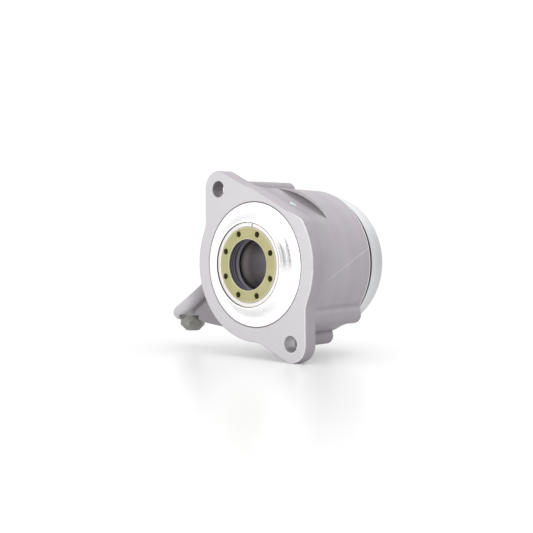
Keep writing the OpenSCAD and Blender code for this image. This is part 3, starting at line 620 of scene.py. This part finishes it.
def make_finishes(scene):
    """All finishes by the record's material slots."""
    turned = scene.cylinder_turned
    made = [
        cast_aluminium(scene.cylinder_casting),
        turned_hub(turned),
        passivated(turned),
        ground_sleeve(turned),
        rubber("seal_rubber", turned.rubber, sheen=0.35),
        plated_sheet("shell_steel", turned.shell, (0.54, 0.545, 0.555), rough=0.38),
        turned_metal("ring_steel", turned.ring, (0.58, 0.55, 0.53),
                     rough=0.36, pitch=0.6 * MM, depth=0.01 * MM),
        turned_metal("piston_aluminium", (0.44, 0.44, 0.47), (0.34, 0.34, 0.37),
                     rough=0.42, pitch=0.4 * MM, depth=0.02 * MM),
        turned_metal("bearing_steel", (0.58, 0.585, 0.60), (0.42, 0.42, 0.43),
                     rough=0.26, pitch=0.2 * MM, depth=0.01 * MM),
        turned_metal("ball_steel", (0.76, 0.76, 0.78), (0.66, 0.66, 0.68),
                     rough=0.08, pitch=2 * MM, depth=0.001 * MM),
        dull_steel("seal_case_steel", (0.06, 0.06, 0.07), (0.11, 0.10, 0.12), rough=0.5),
        dull_steel("spring_steel", (0.09, 0.10, 0.12), (0.17, 0.16, 0.15), rough=0.36),
        dull_steel("union_steel", turned.union, (0.285, 0.285, 0.26), rough=0.58, metallic=0.4),
        # The washer is coloured darker than aluminium: painted shade in the gap between the union
        # and the port boss
        dull_steel("washer_aluminium", (0.26, 0.25, 0.235), (0.2, 0.19, 0.18), rough=0.5),
        dull_steel("plug_steel", (0.33, 0.33, 0.33), (0.24, 0.24, 0.25), rough=0.4),
        plastic("guide_plastic", (0.66, 0.62, 0.50), (0.74, 0.71, 0.62), rough=0.5),
        plastic("dust_plastic", (0.012, 0.012, 0.014), (0.026, 0.026, 0.029), rough=0.48),
        plastic("cage_plastic", (0.26, 0.17, 0.075), (0.34, 0.23, 0.11), rough=0.5),
    ]
    # Blender adds a number to a name that is taken
    return {material.name.split(".")[0]: material for material in made}


FINISHES = {}


def finish_of(slot):
    if not FINISHES:
        FINISHES.update(make_finishes(bpy.context.scene))
    return FINISHES[slot]


# Pieces

SLOTS = {part["node"]: part["material_slot"] for part in frame["record"]["subparts"]}
BODIES = {node: body for body, nodes in frame["record"]["behaviour"]["bodies"].items()
          for node in nodes}


def merged_mesh(node):
    """A working copy of a CAD node's mesh with its corners joined."""
    bm = bmesh.new()
    bm.from_mesh(frame["nodes"][node].data)
    bmesh.ops.remove_doubles(bm, verts=bm.verts, dist=MERGE)
    return bm


def solid_of(node):
    """A merged working copy of a CAD node's mesh, with coplanar triangles joined."""
    bm = merged_mesh(node)
    bmesh.ops.dissolve_limit(bm, angle_limit=FLAT_ENOUGH, verts=bm.verts, edges=bm.edges)
    return bm


def bevel(bm, edges, width, steps=3):
    """Rounds edges and gives the faces that this made."""
    if not edges:
        return []
    return bmesh.ops.bevel(bm, geom=edges, offset=width, offset_type="OFFSET", affect="EDGES",
                           segments=steps, profile=0.5, material=-1,
                           clamp_overlap=True)["faces"]


def round_corners(bm, verts, width, steps=3):
    """Rounds corners of an outline."""
    bmesh.ops.bevel(bm, geom=verts, offset=width, offset_type="OFFSET", affect="VERTICES",
                    segments=steps, profile=0.5, material=-1, clamp_overlap=True)


def sharp_edges(bm, where=None):
    """The edges between faces that meet at an angle, kept to a place if one is given."""
    found = [edge for edge in bm.edges if edge.calc_face_angle(0.0) > SHARP]
    return [edge for edge in found if where is None or all(where(vert.co) for vert in edge.verts)]


def turned_section(node):
    """The outline of a turned node in the half plane z = 0, x > 0."""
    bm = merged_mesh(node)
    geometry = bm.verts[:] + bm.edges[:] + bm.faces[:]
    bmesh.ops.bisect_plane(bm, geom=geometry, dist=MERGE, plane_co=(0, 0, 0), plane_no=(0, 0, 1),
                           clear_inner=True, clear_outer=True)
    bmesh.ops.delete(bm, geom=[vert for vert in bm.verts if vert.co.x < 0], context="VERTS")
    bmesh.ops.remove_doubles(bm, verts=bm.verts, dist=10 * MERGE)
    return bm


def corners(bm):
    """The corners of an outline."""
    found = []
    for vert in bm.verts:
        if len(vert.link_edges) != 2:
            continue
        first, second = (edge.other_vert(vert).co - vert.co for edge in vert.link_edges)
        if math.pi - first.angle(second, math.pi) > SHARP:
            found.append(vert)
    return found


def turn(bm):
    """Spins an outline a full turn round the axis into a closed skin."""
    bmesh.ops.spin(bm, geom=bm.verts[:] + bm.edges[:], cent=(0, 0, 0), axis=AXIS, dvec=(0, 0, 0),
                   angle=2 * math.pi, steps=TURN_STEPS, use_merge=True, use_duplicate=False)
    bmesh.ops.remove_doubles(bm, verts=bm.verts, dist=MERGE)
    bmesh.ops.recalc_face_normals(bm, faces=bm.faces)


def show(bm, name, node, extra=False):
    """Makes a piece of a working mesh on a node's body, in that node's place unless it is extra."""
    mesh = bpy.data.meshes.new(name)
    for face in bm.faces:
        face.smooth = True
    bm.to_mesh(mesh)
    bm.free()
    stale = mesh.attributes.get("custom_normal")
    if stale:
        mesh.attributes.remove(stale)
    mesh.set_sharp_from_angle(angle=SHARP)
    mesh.materials.append(finish_of(SLOTS[node]))
    piece = bpy.data.objects.new(name, mesh)
    bpy.context.scene.collection.objects.link(piece)
    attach(piece, BODIES[node])
    if not extra:
        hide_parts(node)
    return piece


def steady_normals(piece):
    """Keeps large flat faces flat next to their rounded edges."""
    settle = piece.modifiers.new("steady_normals", "WEIGHTED_NORMAL")
    settle.keep_sharp = True
    settle.weight = FACE_WEIGHT
    return piece


def turned_piece(node, name, edge, blend=None):
    """A turned node with rounded corners, and a larger blend at one corner if it is given."""
    bm = turned_section(node)
    bmesh.ops.contextual_create(bm, geom=bm.edges[:])
    if blend:
        spot, width = blend
        corner = min(corners(bm), key=lambda vert: (vert.co - spot).length)
        round_corners(bm, [corner], width, steps=8)
    round_corners(bm, corners(bm), edge)
    bmesh.ops.delete(bm, geom=bm.faces[:], context="FACES_ONLY")
    turn(bm)
    return steady_normals(show(bm, name, node))


def softened_piece(node, name, edge, reshape=None):
    """A node with every sharp edge rounded, after a change of shape if one is given."""
    bm = solid_of(node)
    if reshape:
        reshape(bm)
    bevel(bm, sharp_edges(bm), edge)
    return steady_normals(show(bm, name, node))


def dress(*nodes):
    """Gives CAD nodes that keep their own mesh their finish."""
    for node in nodes:
        materials = frame["nodes"][node].data.materials
        materials.clear()
        materials.append(finish_of(SLOTS[node]))


# Operators

class CYLINDER_OT_casting(bpy.types.Operator):
    """Make the cast housing with its machined face, seam, paint dab, boss blends and port boss"""
    bl_idname = "cylinder.casting"
    bl_label = "Casting"

    LAYERS = ("worn_edge", "machined", "recess", "shade")
    FLANGE_T = 8.5 * MM
    FACE_R = 36 * MM
    BOLT_AT = Vector((27.93, -42.2)) * MM
    BOLT_NEAR = 5 * MM
    # Strength of the painted shade in the upper bolt holes and of the painted highlight, as
    # machined metal, in the lower ones
    BOLT_LIGHT_AND_SHADE = 0.9
    RECESS_Y = (20 * MM, 25 * MM)
    RECESS_Z = 20 * MM
    GUSSET_X = -25 * MM
    GUSSET_Y = 14.0 * MM
    GUSSET_NEAR = 0.3 * MM
    GUSSET_SHADE = 0.9
    SKIRT_X = 25 * MM
    SEAM_CO = Vector((42.5, 28.2, -0.6)) * MM
    SEAM_NO = Vector((-33.99, -25.46, 53.3)).normalized()
    SEAM_START = 9 * MM
    SEAM_RISE = 9 * MM
    SEAM_WEAR = 0.4
    DAB_AT = (0.94 * MM, 13.24 * MM)
    DAB_SIZE = (2.3 * MM, 1.5 * MM)
    DAB_THICK = 0.06 * MM
    DAB_SIDES = 28
    # Each swell of the dab's outline: how many, how large and where it starts
    DAB_SWELLS = ((3, 0.16, 0.6), (7, 0.09, 0.0))
    PORT_AT = Vector((-65.55, 16.4, -32.81)) * MM
    PORT_R = 4.65 * MM
    PORT_H = 8.4 * MM
    PORT_ROUND = 1.2 * MM
    PORT_SIDES = 96
    PORT_SHADE = 0.8
    BOSS_AT = 43.7 * MM
    BOSS_R = 5 * MM
    BOSS_NEAR = 0.1 * MM
    BOSS_SHADE = 0.4
    SHADED_BOSSES = [math.radians(angle) for angle in (107.5, -40.5, -72.5)]
    BLENDED_BOSSES = ((math.radians(-40.5), 48.7 * MM), (math.radians(139.5), 44.7 * MM))
    BLEND_START = 8.0 * MM
    BLEND_ROUND = 0.9 * MM
    BLEND_SUNK = 0.4 * MM
    BLEND_SHADES = (0.0, 0.05, 0.2, 0.4, 0.6, 0.55, 0.3, 0.1, 0.1, 0.25)
    SKIRT_R = 43.2 * MM
    SKIRT_TAPER = 0.025

    def execute(self, context):
        casting = context.scene.cylinder_casting
        bm = solid_of("housing")
        self.split_bosses(bm)
        for name in self.LAYERS:
            bm.faces.layers.float.new(name)
        self.mark_faces(bm)
        self.add_seam(bm, casting)
        self.break_edges(bm, casting)
        steady_normals(show(bm, "casting", "housing"))
        self.add_dab(casting)
        self.add_boss_blends(casting)
        self.add_port_boss()
        return {"FINISHED"}

    def round_bolt(self, co):
        flat = Vector((co.x, co.z))
        return min((flat - self.BOLT_AT).length, (flat + self.BOLT_AT).length) < self.BOLT_NEAR

    def on_boss(self, co):
        flat = Vector((co.x, co.z))
        spots = [Vector((math.cos(angle), math.sin(angle))) * self.BOSS_AT
                 for angle in self.SHADED_BOSSES]
        return min((flat - spot).length for spot in spots) < self.BOSS_R + self.BOSS_NEAR

    def on_face(self, co):
        return abs(co.y) < MERGE

    def on_hole(self, co):
        return self.on_face(co) and self.round_bolt(co)

    def on_outline(self, co):
        return self.on_face(co) and Vector((co.x, co.z)).length > self.FACE_R

    def split_bosses(self, bm):
        """Cuts the bosses' faces at the back of the flange, so that only the part behind the flange
        takes painted shade.
        """
        bosses = [face for face in bm.faces if self.on_boss(face.calc_center_median())]
        geometry = {item for face in bosses for item in (face, *face.edges, *face.verts)}
        bmesh.ops.bisect_plane(bm, geom=list(geometry), dist=MERGE,
                               plane_co=(0, self.FLANGE_T, 0), plane_no=AXIS)

    def mark_faces(self, bm):
        """Marks the machined flange face, the flat's end wall that takes painted shade, the faces
        that take painted shade, and the lower bolt holes' walls that take a painted highlight.
        """
        cut, recess, shade = (bm.faces.layers.float[name] for name in self.LAYERS[1:])
        near, far = self.RECESS_Y
        for face in bm.faces:
            centre, lean = face.calc_center_median(), face.normal.y
            if lean < -0.99 and self.on_face(centre):
                face[cut] = 1.0
            elif lean < -0.05 and near < centre.y < far and centre.z > self.RECESS_Z:
                face[recess] = 1.0
            elif lean < -0.9 and self.on_gusset(centre):
                face[shade] = self.GUSSET_SHADE
            # Painted shade on the upper bolt holes' walls; the lower ones are marked as machined
            # metal, a painted highlight
            elif self.round_bolt(centre) and abs(lean) < 0.1:
                face[shade if centre.z > 0 else cut] = self.BOLT_LIGHT_AND_SHADE
            elif centre.y > self.FLANGE_T and self.on_boss(centre):
                face[shade] = self.BOSS_SHADE

    def on_gusset(self, co):
        return co.x < self.GUSSET_X and abs(co.y - self.GUSSET_Y) < self.GUSSET_NEAR

    def break_edges(self, bm, casting):
        """Rounds the edges of the flange face and marks them as worn."""
        worn, cut = (bm.faces.layers.float[name] for name in self.LAYERS[:2])
        rounds = ((self.on_hole, casting.hole_edge), (self.on_outline, casting.face_edge),
                  (self.on_face, casting.hole_edge))
        for where, width in rounds:
            for face in bevel(bm, sharp_edges(bm, where), width):
                face[worn] = 1.0
                face[cut] = 0.0

    def on_skirt(self, face):
        side = abs(face.normal.y) < 0.2 and face.normal.x > 0.5
        return side and face.calc_center_median().x > self.SKIRT_X

    def add_seam(self, bm, casting):
        """Raises the mould seam that runs across the skirt."""
        worn = bm.faces.layers.float["worn_edge"]
        for offset in (-casting.seam_width, 0.0, casting.seam_width):
            skirt = [face for face in bm.faces if self.on_skirt(face)]
            geometry = {item for face in skirt for item in (face, *face.edges, *face.verts)}
            made = bmesh.ops.bisect_plane(bm, geom=list(geometry), dist=MERGE,
                                          plane_co=self.SEAM_CO + self.SEAM_NO * offset,
                                          plane_no=self.SEAM_NO)["geom_cut"]
            if offset == 0.0:
                crest = [item for item in made if isinstance(item, bmesh.types.BMVert)]
        for vert in crest:
            out = Vector((vert.co.x, 0, vert.co.z)).normalized()
            rise = min(max((vert.co.y - self.SEAM_START) / self.SEAM_RISE, 0.0), 1.0)
            vert.co += out * casting.seam_height * rise
            for face in vert.link_faces:
                face[worn] = self.SEAM_WEAR * rise

    def add_boss_blends(self, casting):
        """Fills the corners where the long bosses meet the skirt with a hollow round, with painted
        shade across the lower one's hollows.
        """
        bm = bmesh.new()
        bm.faces.layers.float.new("shade")
        rims = []
        for angle, end in self.BLENDED_BOSSES:
            shades = self.BLEND_SHADES if angle < 0 else ()
            for side in (-1, 1):
                blend_r = casting.boss_blend if side * angle < 0 else casting.boss_hollow
                near, far = (self.boss_corner(angle, y, blend_r, side)
                             for y in (self.BLEND_START, end))
                rims += self.add_fill(bm, near, far, shades)
        bmesh.ops.recalc_face_normals(bm, faces=bm.faces)
        bevel(bm, rims, self.BLEND_ROUND)
        show(bm, "boss_blends", "housing", extra=True)

    def add_fill(self, bm, near, far, shades):
        """Draws a closed fill from one outline to the other, and gives the far arc's edges."""
        shade = bm.faces.layers.float["shade"]
        ring = [bm.verts.new(spot) for spot in near]
        edges = [bm.edges.new((ring[n - 1], ring[n])) for n in range(len(ring))]
        ends = bmesh.ops.contextual_create(bm, geom=edges)["faces"]
        drawn = bmesh.ops.extrude_face_region(bm, geom=ends)["geom"]
        goal = {tuple(vert.co): spot for vert, spot in zip(ring, far)}
        for item in drawn:
            if isinstance(item, bmesh.types.BMVert):
                item.co = goal[tuple(item.co)]
        arc = [next(face for face in edge.link_faces if face not in ends) for edge in edges[1:-1]]
        for face, value in zip(arc, shades):
            face[shade] = value
        return [edge for face in arc for edge in face.edges if not set(edge.verts) & set(ring)]

    def boss_corner(self, angle, y, blend_r, side):
        """The outline of the fill between a boss and the skirt at one distance from the face."""
        skirt_r = self.SKIRT_R - self.SKIRT_TAPER * (y - self.BLEND_START)
        out, over = skirt_r + blend_r, self.BOSS_R + blend_r
        u = (out ** 2 - over ** 2 + self.BOSS_AT ** 2) / (2 * self.BOSS_AT)
        centre = Vector((u, side * math.sqrt(out ** 2 - u ** 2)))
        start, end = -centre, Vector((self.BOSS_AT, 0)) - centre
        first, sweep = math.atan2(start.y, start.x), start.angle_signed(end)
        steps = len(self.BLEND_SHADES)
        turns = [first - sweep * n / steps for n in range(steps + 1)]
        arc = [centre + blend_r * Vector((math.cos(a), math.sin(a))) for a in turns]
        u = (skirt_r ** 2 - self.BOSS_R ** 2 + self.BOSS_AT ** 2) / (2 * self.BOSS_AT)
        inner = Vector((u, side * (math.sqrt(skirt_r ** 2 - u ** 2) - self.BLEND_SUNK)))
        turned = Matrix.Rotation(-angle, 3, "Y")
        return [turned @ Vector((u, y, w)) for u, w in (*arc, inner)]

    def add_port_boss(self):
        """Carries the port boss up to the arm under a rounded top, all in painted shade."""
        bm = bmesh.new()
        shade = bm.faces.layers.float.new("shade")
        bmesh.ops.create_cone(bm, cap_ends=True, segments=self.PORT_SIDES, radius1=self.PORT_R,
                              radius2=self.PORT_R, depth=self.PORT_H)
        top = [edge for edge in bm.edges if all(vert.co.z > 0 for vert in edge.verts)]
        bevel(bm, top, self.PORT_ROUND, steps=5)
        middle = self.PORT_AT + Vector((0, 0, self.PORT_H / 2))
        bmesh.ops.translate(bm, verts=bm.verts, vec=middle)
        for face in bm.faces:
            face[shade] = self.PORT_SHADE
        steady_normals(show(bm, "port_boss", "housing", extra=True))

    def add_dab(self, casting):
        """Lays the paint dab on the flat."""
        bm = bmesh.new()
        bmesh.ops.create_circle(bm, cap_ends=True, segments=self.DAB_SIDES, radius=1.0)
        for vert in bm.verts:
            at = math.atan2(vert.co.y, vert.co.x)
            swell = 1 + sum(size * math.sin(count * at + start)
                            for count, size, start in self.DAB_SWELLS)
            vert.co.x *= self.DAB_SIZE[0] * swell
            vert.co.y *= self.DAB_SIZE[1] * swell
        top = bmesh.ops.extrude_face_region(bm, geom=bm.faces[:])["geom"]
        lifted = [item for item in top if isinstance(item, bmesh.types.BMVert)]
        bmesh.ops.translate(bm, verts=lifted, vec=(0, 0, self.DAB_THICK))
        bmesh.ops.recalc_face_normals(bm, faces=bm.faces)
        normal = Vector((math.cos(FLAT_ANGLE), 0, math.sin(FLAT_ANGLE)))
        across = Vector((math.sin(FLAT_ANGLE), 0, -math.cos(FLAT_ANGLE)))
        turned = Matrix((across, normal.cross(across), normal)).transposed().to_4x4()
        spot = normal * (FLAT_D - self.DAB_THICK / 3) + across * self.DAB_AT[0]
        spot.y = self.DAB_AT[1]
        bmesh.ops.transform(bm, matrix=Matrix.Translation(spot) @ turned, verts=bm.verts)
        dab = show(bm, "paint_dab", "housing", extra=True)
        dab.data.materials[0] = paint(casting.dab)


class CYLINDER_OT_cap_and_rings(bpy.types.Operator):
    """Make the end cap, the retainer and the snap ring at the front"""
    bl_idname = "cylinder.cap_and_rings"
    bl_label = "Cap and Rings"

    HUB_FOOT = Vector((29.5 * MM, 0, 0))
    GAP_ANGLE = math.radians(82)
    GAP_HALF = 0.6 * MM
    GAP_CLOSED = 0.35 * MM
    GAP_NEAR = 0.02 * MM

    def close_gap(self, bm):
        """Draws the snap ring's ends together."""
        out = Vector((math.cos(self.GAP_ANGLE), 0, math.sin(self.GAP_ANGLE)))
        across = out.cross(AXIS)
        for vert in bm.verts:
            aside = vert.co.dot(across)
            if vert.co.dot(out) > 0 and abs(abs(aside) - self.GAP_HALF) < self.GAP_NEAR:
                vert.co -= across * math.copysign(self.GAP_CLOSED, aside)

    def execute(self, context):
        turned = context.scene.cylinder_turned
        turned_piece("end_cap", "turned_cap", turned.turned_edge, (self.HUB_FOOT, turned.hub_blend))
        softened_piece("retainer_ring", "retainer", turned.pressed_edge)
        softened_piece("snap_ring", "snap_spring", turned.pressed_edge, self.close_gap)
        dress("cap_seal_ring")
        return {"FINISHED"}


class CYLINDER_OT_seal_and_sleeve(bpy.types.Operator):
    """Make the shaft seal and the sleeve round the input shaft"""
    bl_idname = "cylinder.seal_and_sleeve"
    bl_label = "Seal and Sleeve"

    def execute(self, context):
        turned = context.scene.cylinder_turned
        turned_piece("guide_sleeve", "sleeve", turned.turned_edge)
        turned_piece("shaft_seal", "seal_lips", turned.pressed_edge)
        dress("seal_case", "garter_spring", "sleeve_seal_ring", "travel_stop_ring")
        return {"FINISHED"}


class CYLINDER_OT_piston_group(bpy.types.Operator):
    """Finish the piston with its seals, spring and dust sleeve"""
    bl_idname = "cylinder.piston_group"
    bl_label = "Piston Group"

    def execute(self, context):
        turned = context.scene.cylinder_turned
        turned_piece("dust_sleeve", "dust_cover", turned.pressed_edge)
        dress("piston", "piston_seal", "seal_backing_ring", "piston_guide_ring",
              "sleeve_guide_ring", "preload_spring")
        return {"FINISHED"}


class CYLINDER_OT_release_bearing(bpy.types.Operator):
    """Make the release bearing's shell and rings"""
    bl_idname = "cylinder.release_bearing"
    bl_label = "Release Bearing"

    def execute(self, context):
        turned = context.scene.cylinder_turned
        turned_piece("bearing_shell", "shell", turned.pressed_edge)
        turned_piece("bearing_thrust_ring", "thrust_ring_skin", turned.turned_edge)
        turned_piece("bearing_shield", "shield", turned.pressed_edge)
        dress("bearing_fixed_ring", "bearing_balls", "bearing_cage")
        return {"FINISHED"}


class CYLINDER_OT_inlet(bpy.types.Operator):
    """Make the inlet union with its washer and the gallery plug"""
    bl_idname = "cylinder.inlet"
    bl_label = "Inlet"

    def execute(self, context):
        turned = context.scene.cylinder_turned
        softened_piece("inlet_union", "union_nut", turned.pressed_edge)
        dress("union_washer", "gallery_plug")
        return {"FINISHED"}


class CYLINDER_OT_stage(bpy.types.Operator):
    """Set up the floor, the studio light and the camera"""
    bl_idname = "cylinder.stage"
    bl_label = "Stage"

    TARGET = Vector((0.0, 0.02, 0.0))
    TOP_AT, TOP_SIZE = Vector((0.42, -0.06, 0.72)), (0.8, 0.7)
    CARD_AT, CARD_SIZE = Vector((-0.18, -0.85, -0.14)), (0.9, 0.9)
    SENSOR = 36
    CLIP_START = 0.01

    FLOOR_REACH = 0.5
    FLOOR_FADE = (0.16, 0.44)
    FLOOR_PALE = (0.95, 0.95, 0.95)
    FLOOR_BOUNCE = (0.66, 0.66, 0.67)
    FLOOR_SEEN_GLOW = (0.3, 0.3, 0.3)
    FLOOR_GLOW = 0.18

    # The dark flag is a band beside the lens that only bright metal mirrors
    LENS_SIDE = Vector((0.676, -0.737))
    FLAG_LEAN, FLAG_ASIDE = 0.2, 0.11
    FLAG_EDGE = (0.05, 0.14)
    FLAG_HEIGHT = ((-0.12, 0.1), (0.55, 0.8))
    FLAG_FRONT = (0.3, 0.5)
    FLAG_DEPTH = 0.7

    HORIZON = (-0.35, 0.0)
    OVERHEAD = (0.05, 0.85)
    BACK_SIDE = Vector((-0.2, 0.74, 0.65)).normalized()
    BACK_SPAN, BACK_GAIN = (0.8, 0.97), 0.55
    MIRROR_LIFT = 0.26
    BACKDROP_GAIN = 1.05

    def execute(self, context):
        stage = context.scene.cylinder_stage
        self.add_floor()
        self.add_world(context.scene, stage)
        self.add_softbox("top_softbox", self.TOP_AT, self.TOP_SIZE, stage.top_power)
        self.add_softbox("front_card", self.CARD_AT, self.CARD_SIZE, stage.card_power)
        self.add_camera(context.scene, stage)
        context.scene.view_settings.view_transform = "Standard"
        context.scene.view_settings.look = "None"
        return {"FINISHED"}

    def add_floor(self):
        """Lays a pale floor that fades out into the backdrop."""
        bm = bmesh.new()
        bmesh.ops.create_grid(bm, x_segments=1, y_segments=1, size=self.FLOOR_REACH)
        bmesh.ops.translate(bm, verts=bm.verts, vec=(0, 0, CAD_BOX[0][2]))
        mesh = bpy.data.meshes.new("floor")
        bm.to_mesh(mesh)
        bm.free()
        floor = bpy.data.objects.new("floor", mesh)
        bpy.context.scene.collection.objects.link(floor)
        pale = Finish("pale_floor", roughness=0.3, specular_ior_level=0.3)
        x, y, z = pale.xyz(pale.place())
        bounced = pale.light_path("Is Diffuse Ray")
        pale.put("Base Color", pale.mix(bounced, self.FLOOR_PALE, self.FLOOR_BOUNCE))
        glow = pale.mix(pale.light_path("Is Glossy Ray"), (0, 0, 0), (1, 1, 1))
        seen = pale.light_path("Is Camera Ray")
        pale.put("Emission Color", pale.mix(seen, glow, self.FLOOR_SEEN_GLOW))
        pale.put("Emission Strength", self.FLOOR_GLOW)
        pale.put("Alpha", pale.fade(pale.length(x, y), *self.FLOOR_FADE))
        mesh.materials.append(pale.material)

    def add_world(self, scene, stage):
        """Lights the room from all sides, with a dark flag and a bright back for the metal."""
        world = bpy.data.worlds.new("studio")
        world.use_nodes = True
        scene.world = world
        room = NodeTree(world.node_tree)
        shade = world.node_tree.nodes["Background"]
        seen = room.light_path("Is Camera Ray")
        mirrored = room.light_path("Is Glossy Ray")
        x, y, z = room.xyz(room.node("ShaderNodeTexCoord", output="Generated"))
        facing = x * self.LENS_SIDE.x + y * self.LENS_SIDE.y
        across = x * -self.LENS_SIDE.y + y * self.LENS_SIDE.x
        aside = abs(across + z * self.FLAG_LEAN - self.FLAG_ASIDE)
        flag = room.fade(aside, *self.FLAG_EDGE) * room.band(z, *self.FLAG_HEIGHT)
        flag = flag * room.step(facing, *self.FLAG_FRONT)
        below = stage.ground + mirrored * (stage.shine - stage.ground)
        level = stage.fill * room.step(z, *self.HORIZON, below, 1.0)
        level = level + room.step(z, *self.OVERHEAD, 0.0, stage.sky)
        level = level * (1 - flag * mirrored * self.FLAG_DEPTH)
        over = x * self.BACK_SIDE.x + y * self.BACK_SIDE.y + z * self.BACK_SIDE.z
        lift = self.MIRROR_LIFT + room.step(over, *self.BACK_SPAN, 0.0, self.BACK_GAIN)
        level = level + mirrored * (1 - flag) * lift
        room.feed(shade.inputs["Color"], stage.backdrop)
        room.feed(shade.inputs["Strength"], level * (1 - seen) + seen * self.BACKDROP_GAIN)

    def add_softbox(self, name, spot, size, energy):
        lamp = bpy.data.lights.new(name, "AREA")
        lamp.shape = "RECTANGLE"
        lamp.size, lamp.size_y = size
        lamp.energy = energy
        box = bpy.data.objects.new(name, lamp)
        box.location = spot
        box.visible_camera = False
        box.rotation_euler = (self.TARGET - spot).to_track_quat("-Z", "Y").to_euler()
        bpy.context.scene.collection.objects.link(box)

    def add_camera(self, scene, stage):
        """Stands the camera where the photo was taken from."""
        around, above = stage.azimuth, stage.elevation
        back = Vector((math.sin(around) * math.cos(above), -math.cos(around) * math.cos(above),
                       math.sin(above)))
        right = Vector((math.cos(around), math.sin(around), 0))
        up = back.cross(right)
        right, up = (right * math.cos(stage.roll) + up * math.sin(stage.roll),
                     up * math.cos(stage.roll) - right * math.sin(stage.roll))
        data = bpy.data.cameras.new("camera")
        data.lens = stage.lens
        data.sensor_width = self.SENSOR
        data.clip_start = self.CLIP_START
        camera = bpy.data.objects.new("camera", data)
        turned = Matrix((right, up, back)).transposed().to_4x4()
        spot = back * stage.distance - right * stage.aim[0] - up * stage.aim[1]
        camera.matrix_world = Matrix.Translation(spot) @ turned
        scene.collection.objects.link(camera)
        scene.camera = camera


class CYLINDER_PT_sidebar(bpy.types.Panel):
    """Lists the steps and their settings"""
    bl_idname = "CYLINDER_PT_sidebar"
    bl_label = "Slave Cylinder"
    bl_space_type = "VIEW_3D"
    bl_region_type = "UI"
    bl_category = "Cylinder"

    def draw(self, context):
        for step in STEPS:
            self.layout.operator(step.bl_idname)
        for settings in GROUPS:
            group = getattr(context.scene, settings)
            box = self.layout.box()
            for name in group.__annotations__:
                box.prop(group, name)


STEPS = (
    CYLINDER_OT_casting,
    CYLINDER_OT_cap_and_rings,
    CYLINDER_OT_seal_and_sleeve,
    CYLINDER_OT_piston_group,
    CYLINDER_OT_release_bearing,
    CYLINDER_OT_inlet,
    CYLINDER_OT_stage,
)
GROUPS = {
    "cylinder_casting": CastingSettings,
    "cylinder_turned": TurnedSettings,
    "cylinder_stage": StageSettings,
}


def register():
    for group in GROUPS.values():
        bpy.utils.register_class(group)
    for name, group in GROUPS.items():
        setattr(bpy.types.Scene, name, bpy.props.PointerProperty(type=group))
    for step in STEPS:
        bpy.utils.register_class(step)
    bpy.utils.register_class(CYLINDER_PT_sidebar)


def unregister():
    bpy.utils.unregister_class(CYLINDER_PT_sidebar)
    for step in reversed(STEPS):
        bpy.utils.unregister_class(step)
    for name, group in GROUPS.items():
        delattr(bpy.types.Scene, name)
        bpy.utils.unregister_class(group)


def main():
    register()
    for step in STEPS:
        area, name = step.bl_idname.split(".")
        getattr(getattr(bpy.ops, area), name)()


if __name__ == "__main__":
    main()
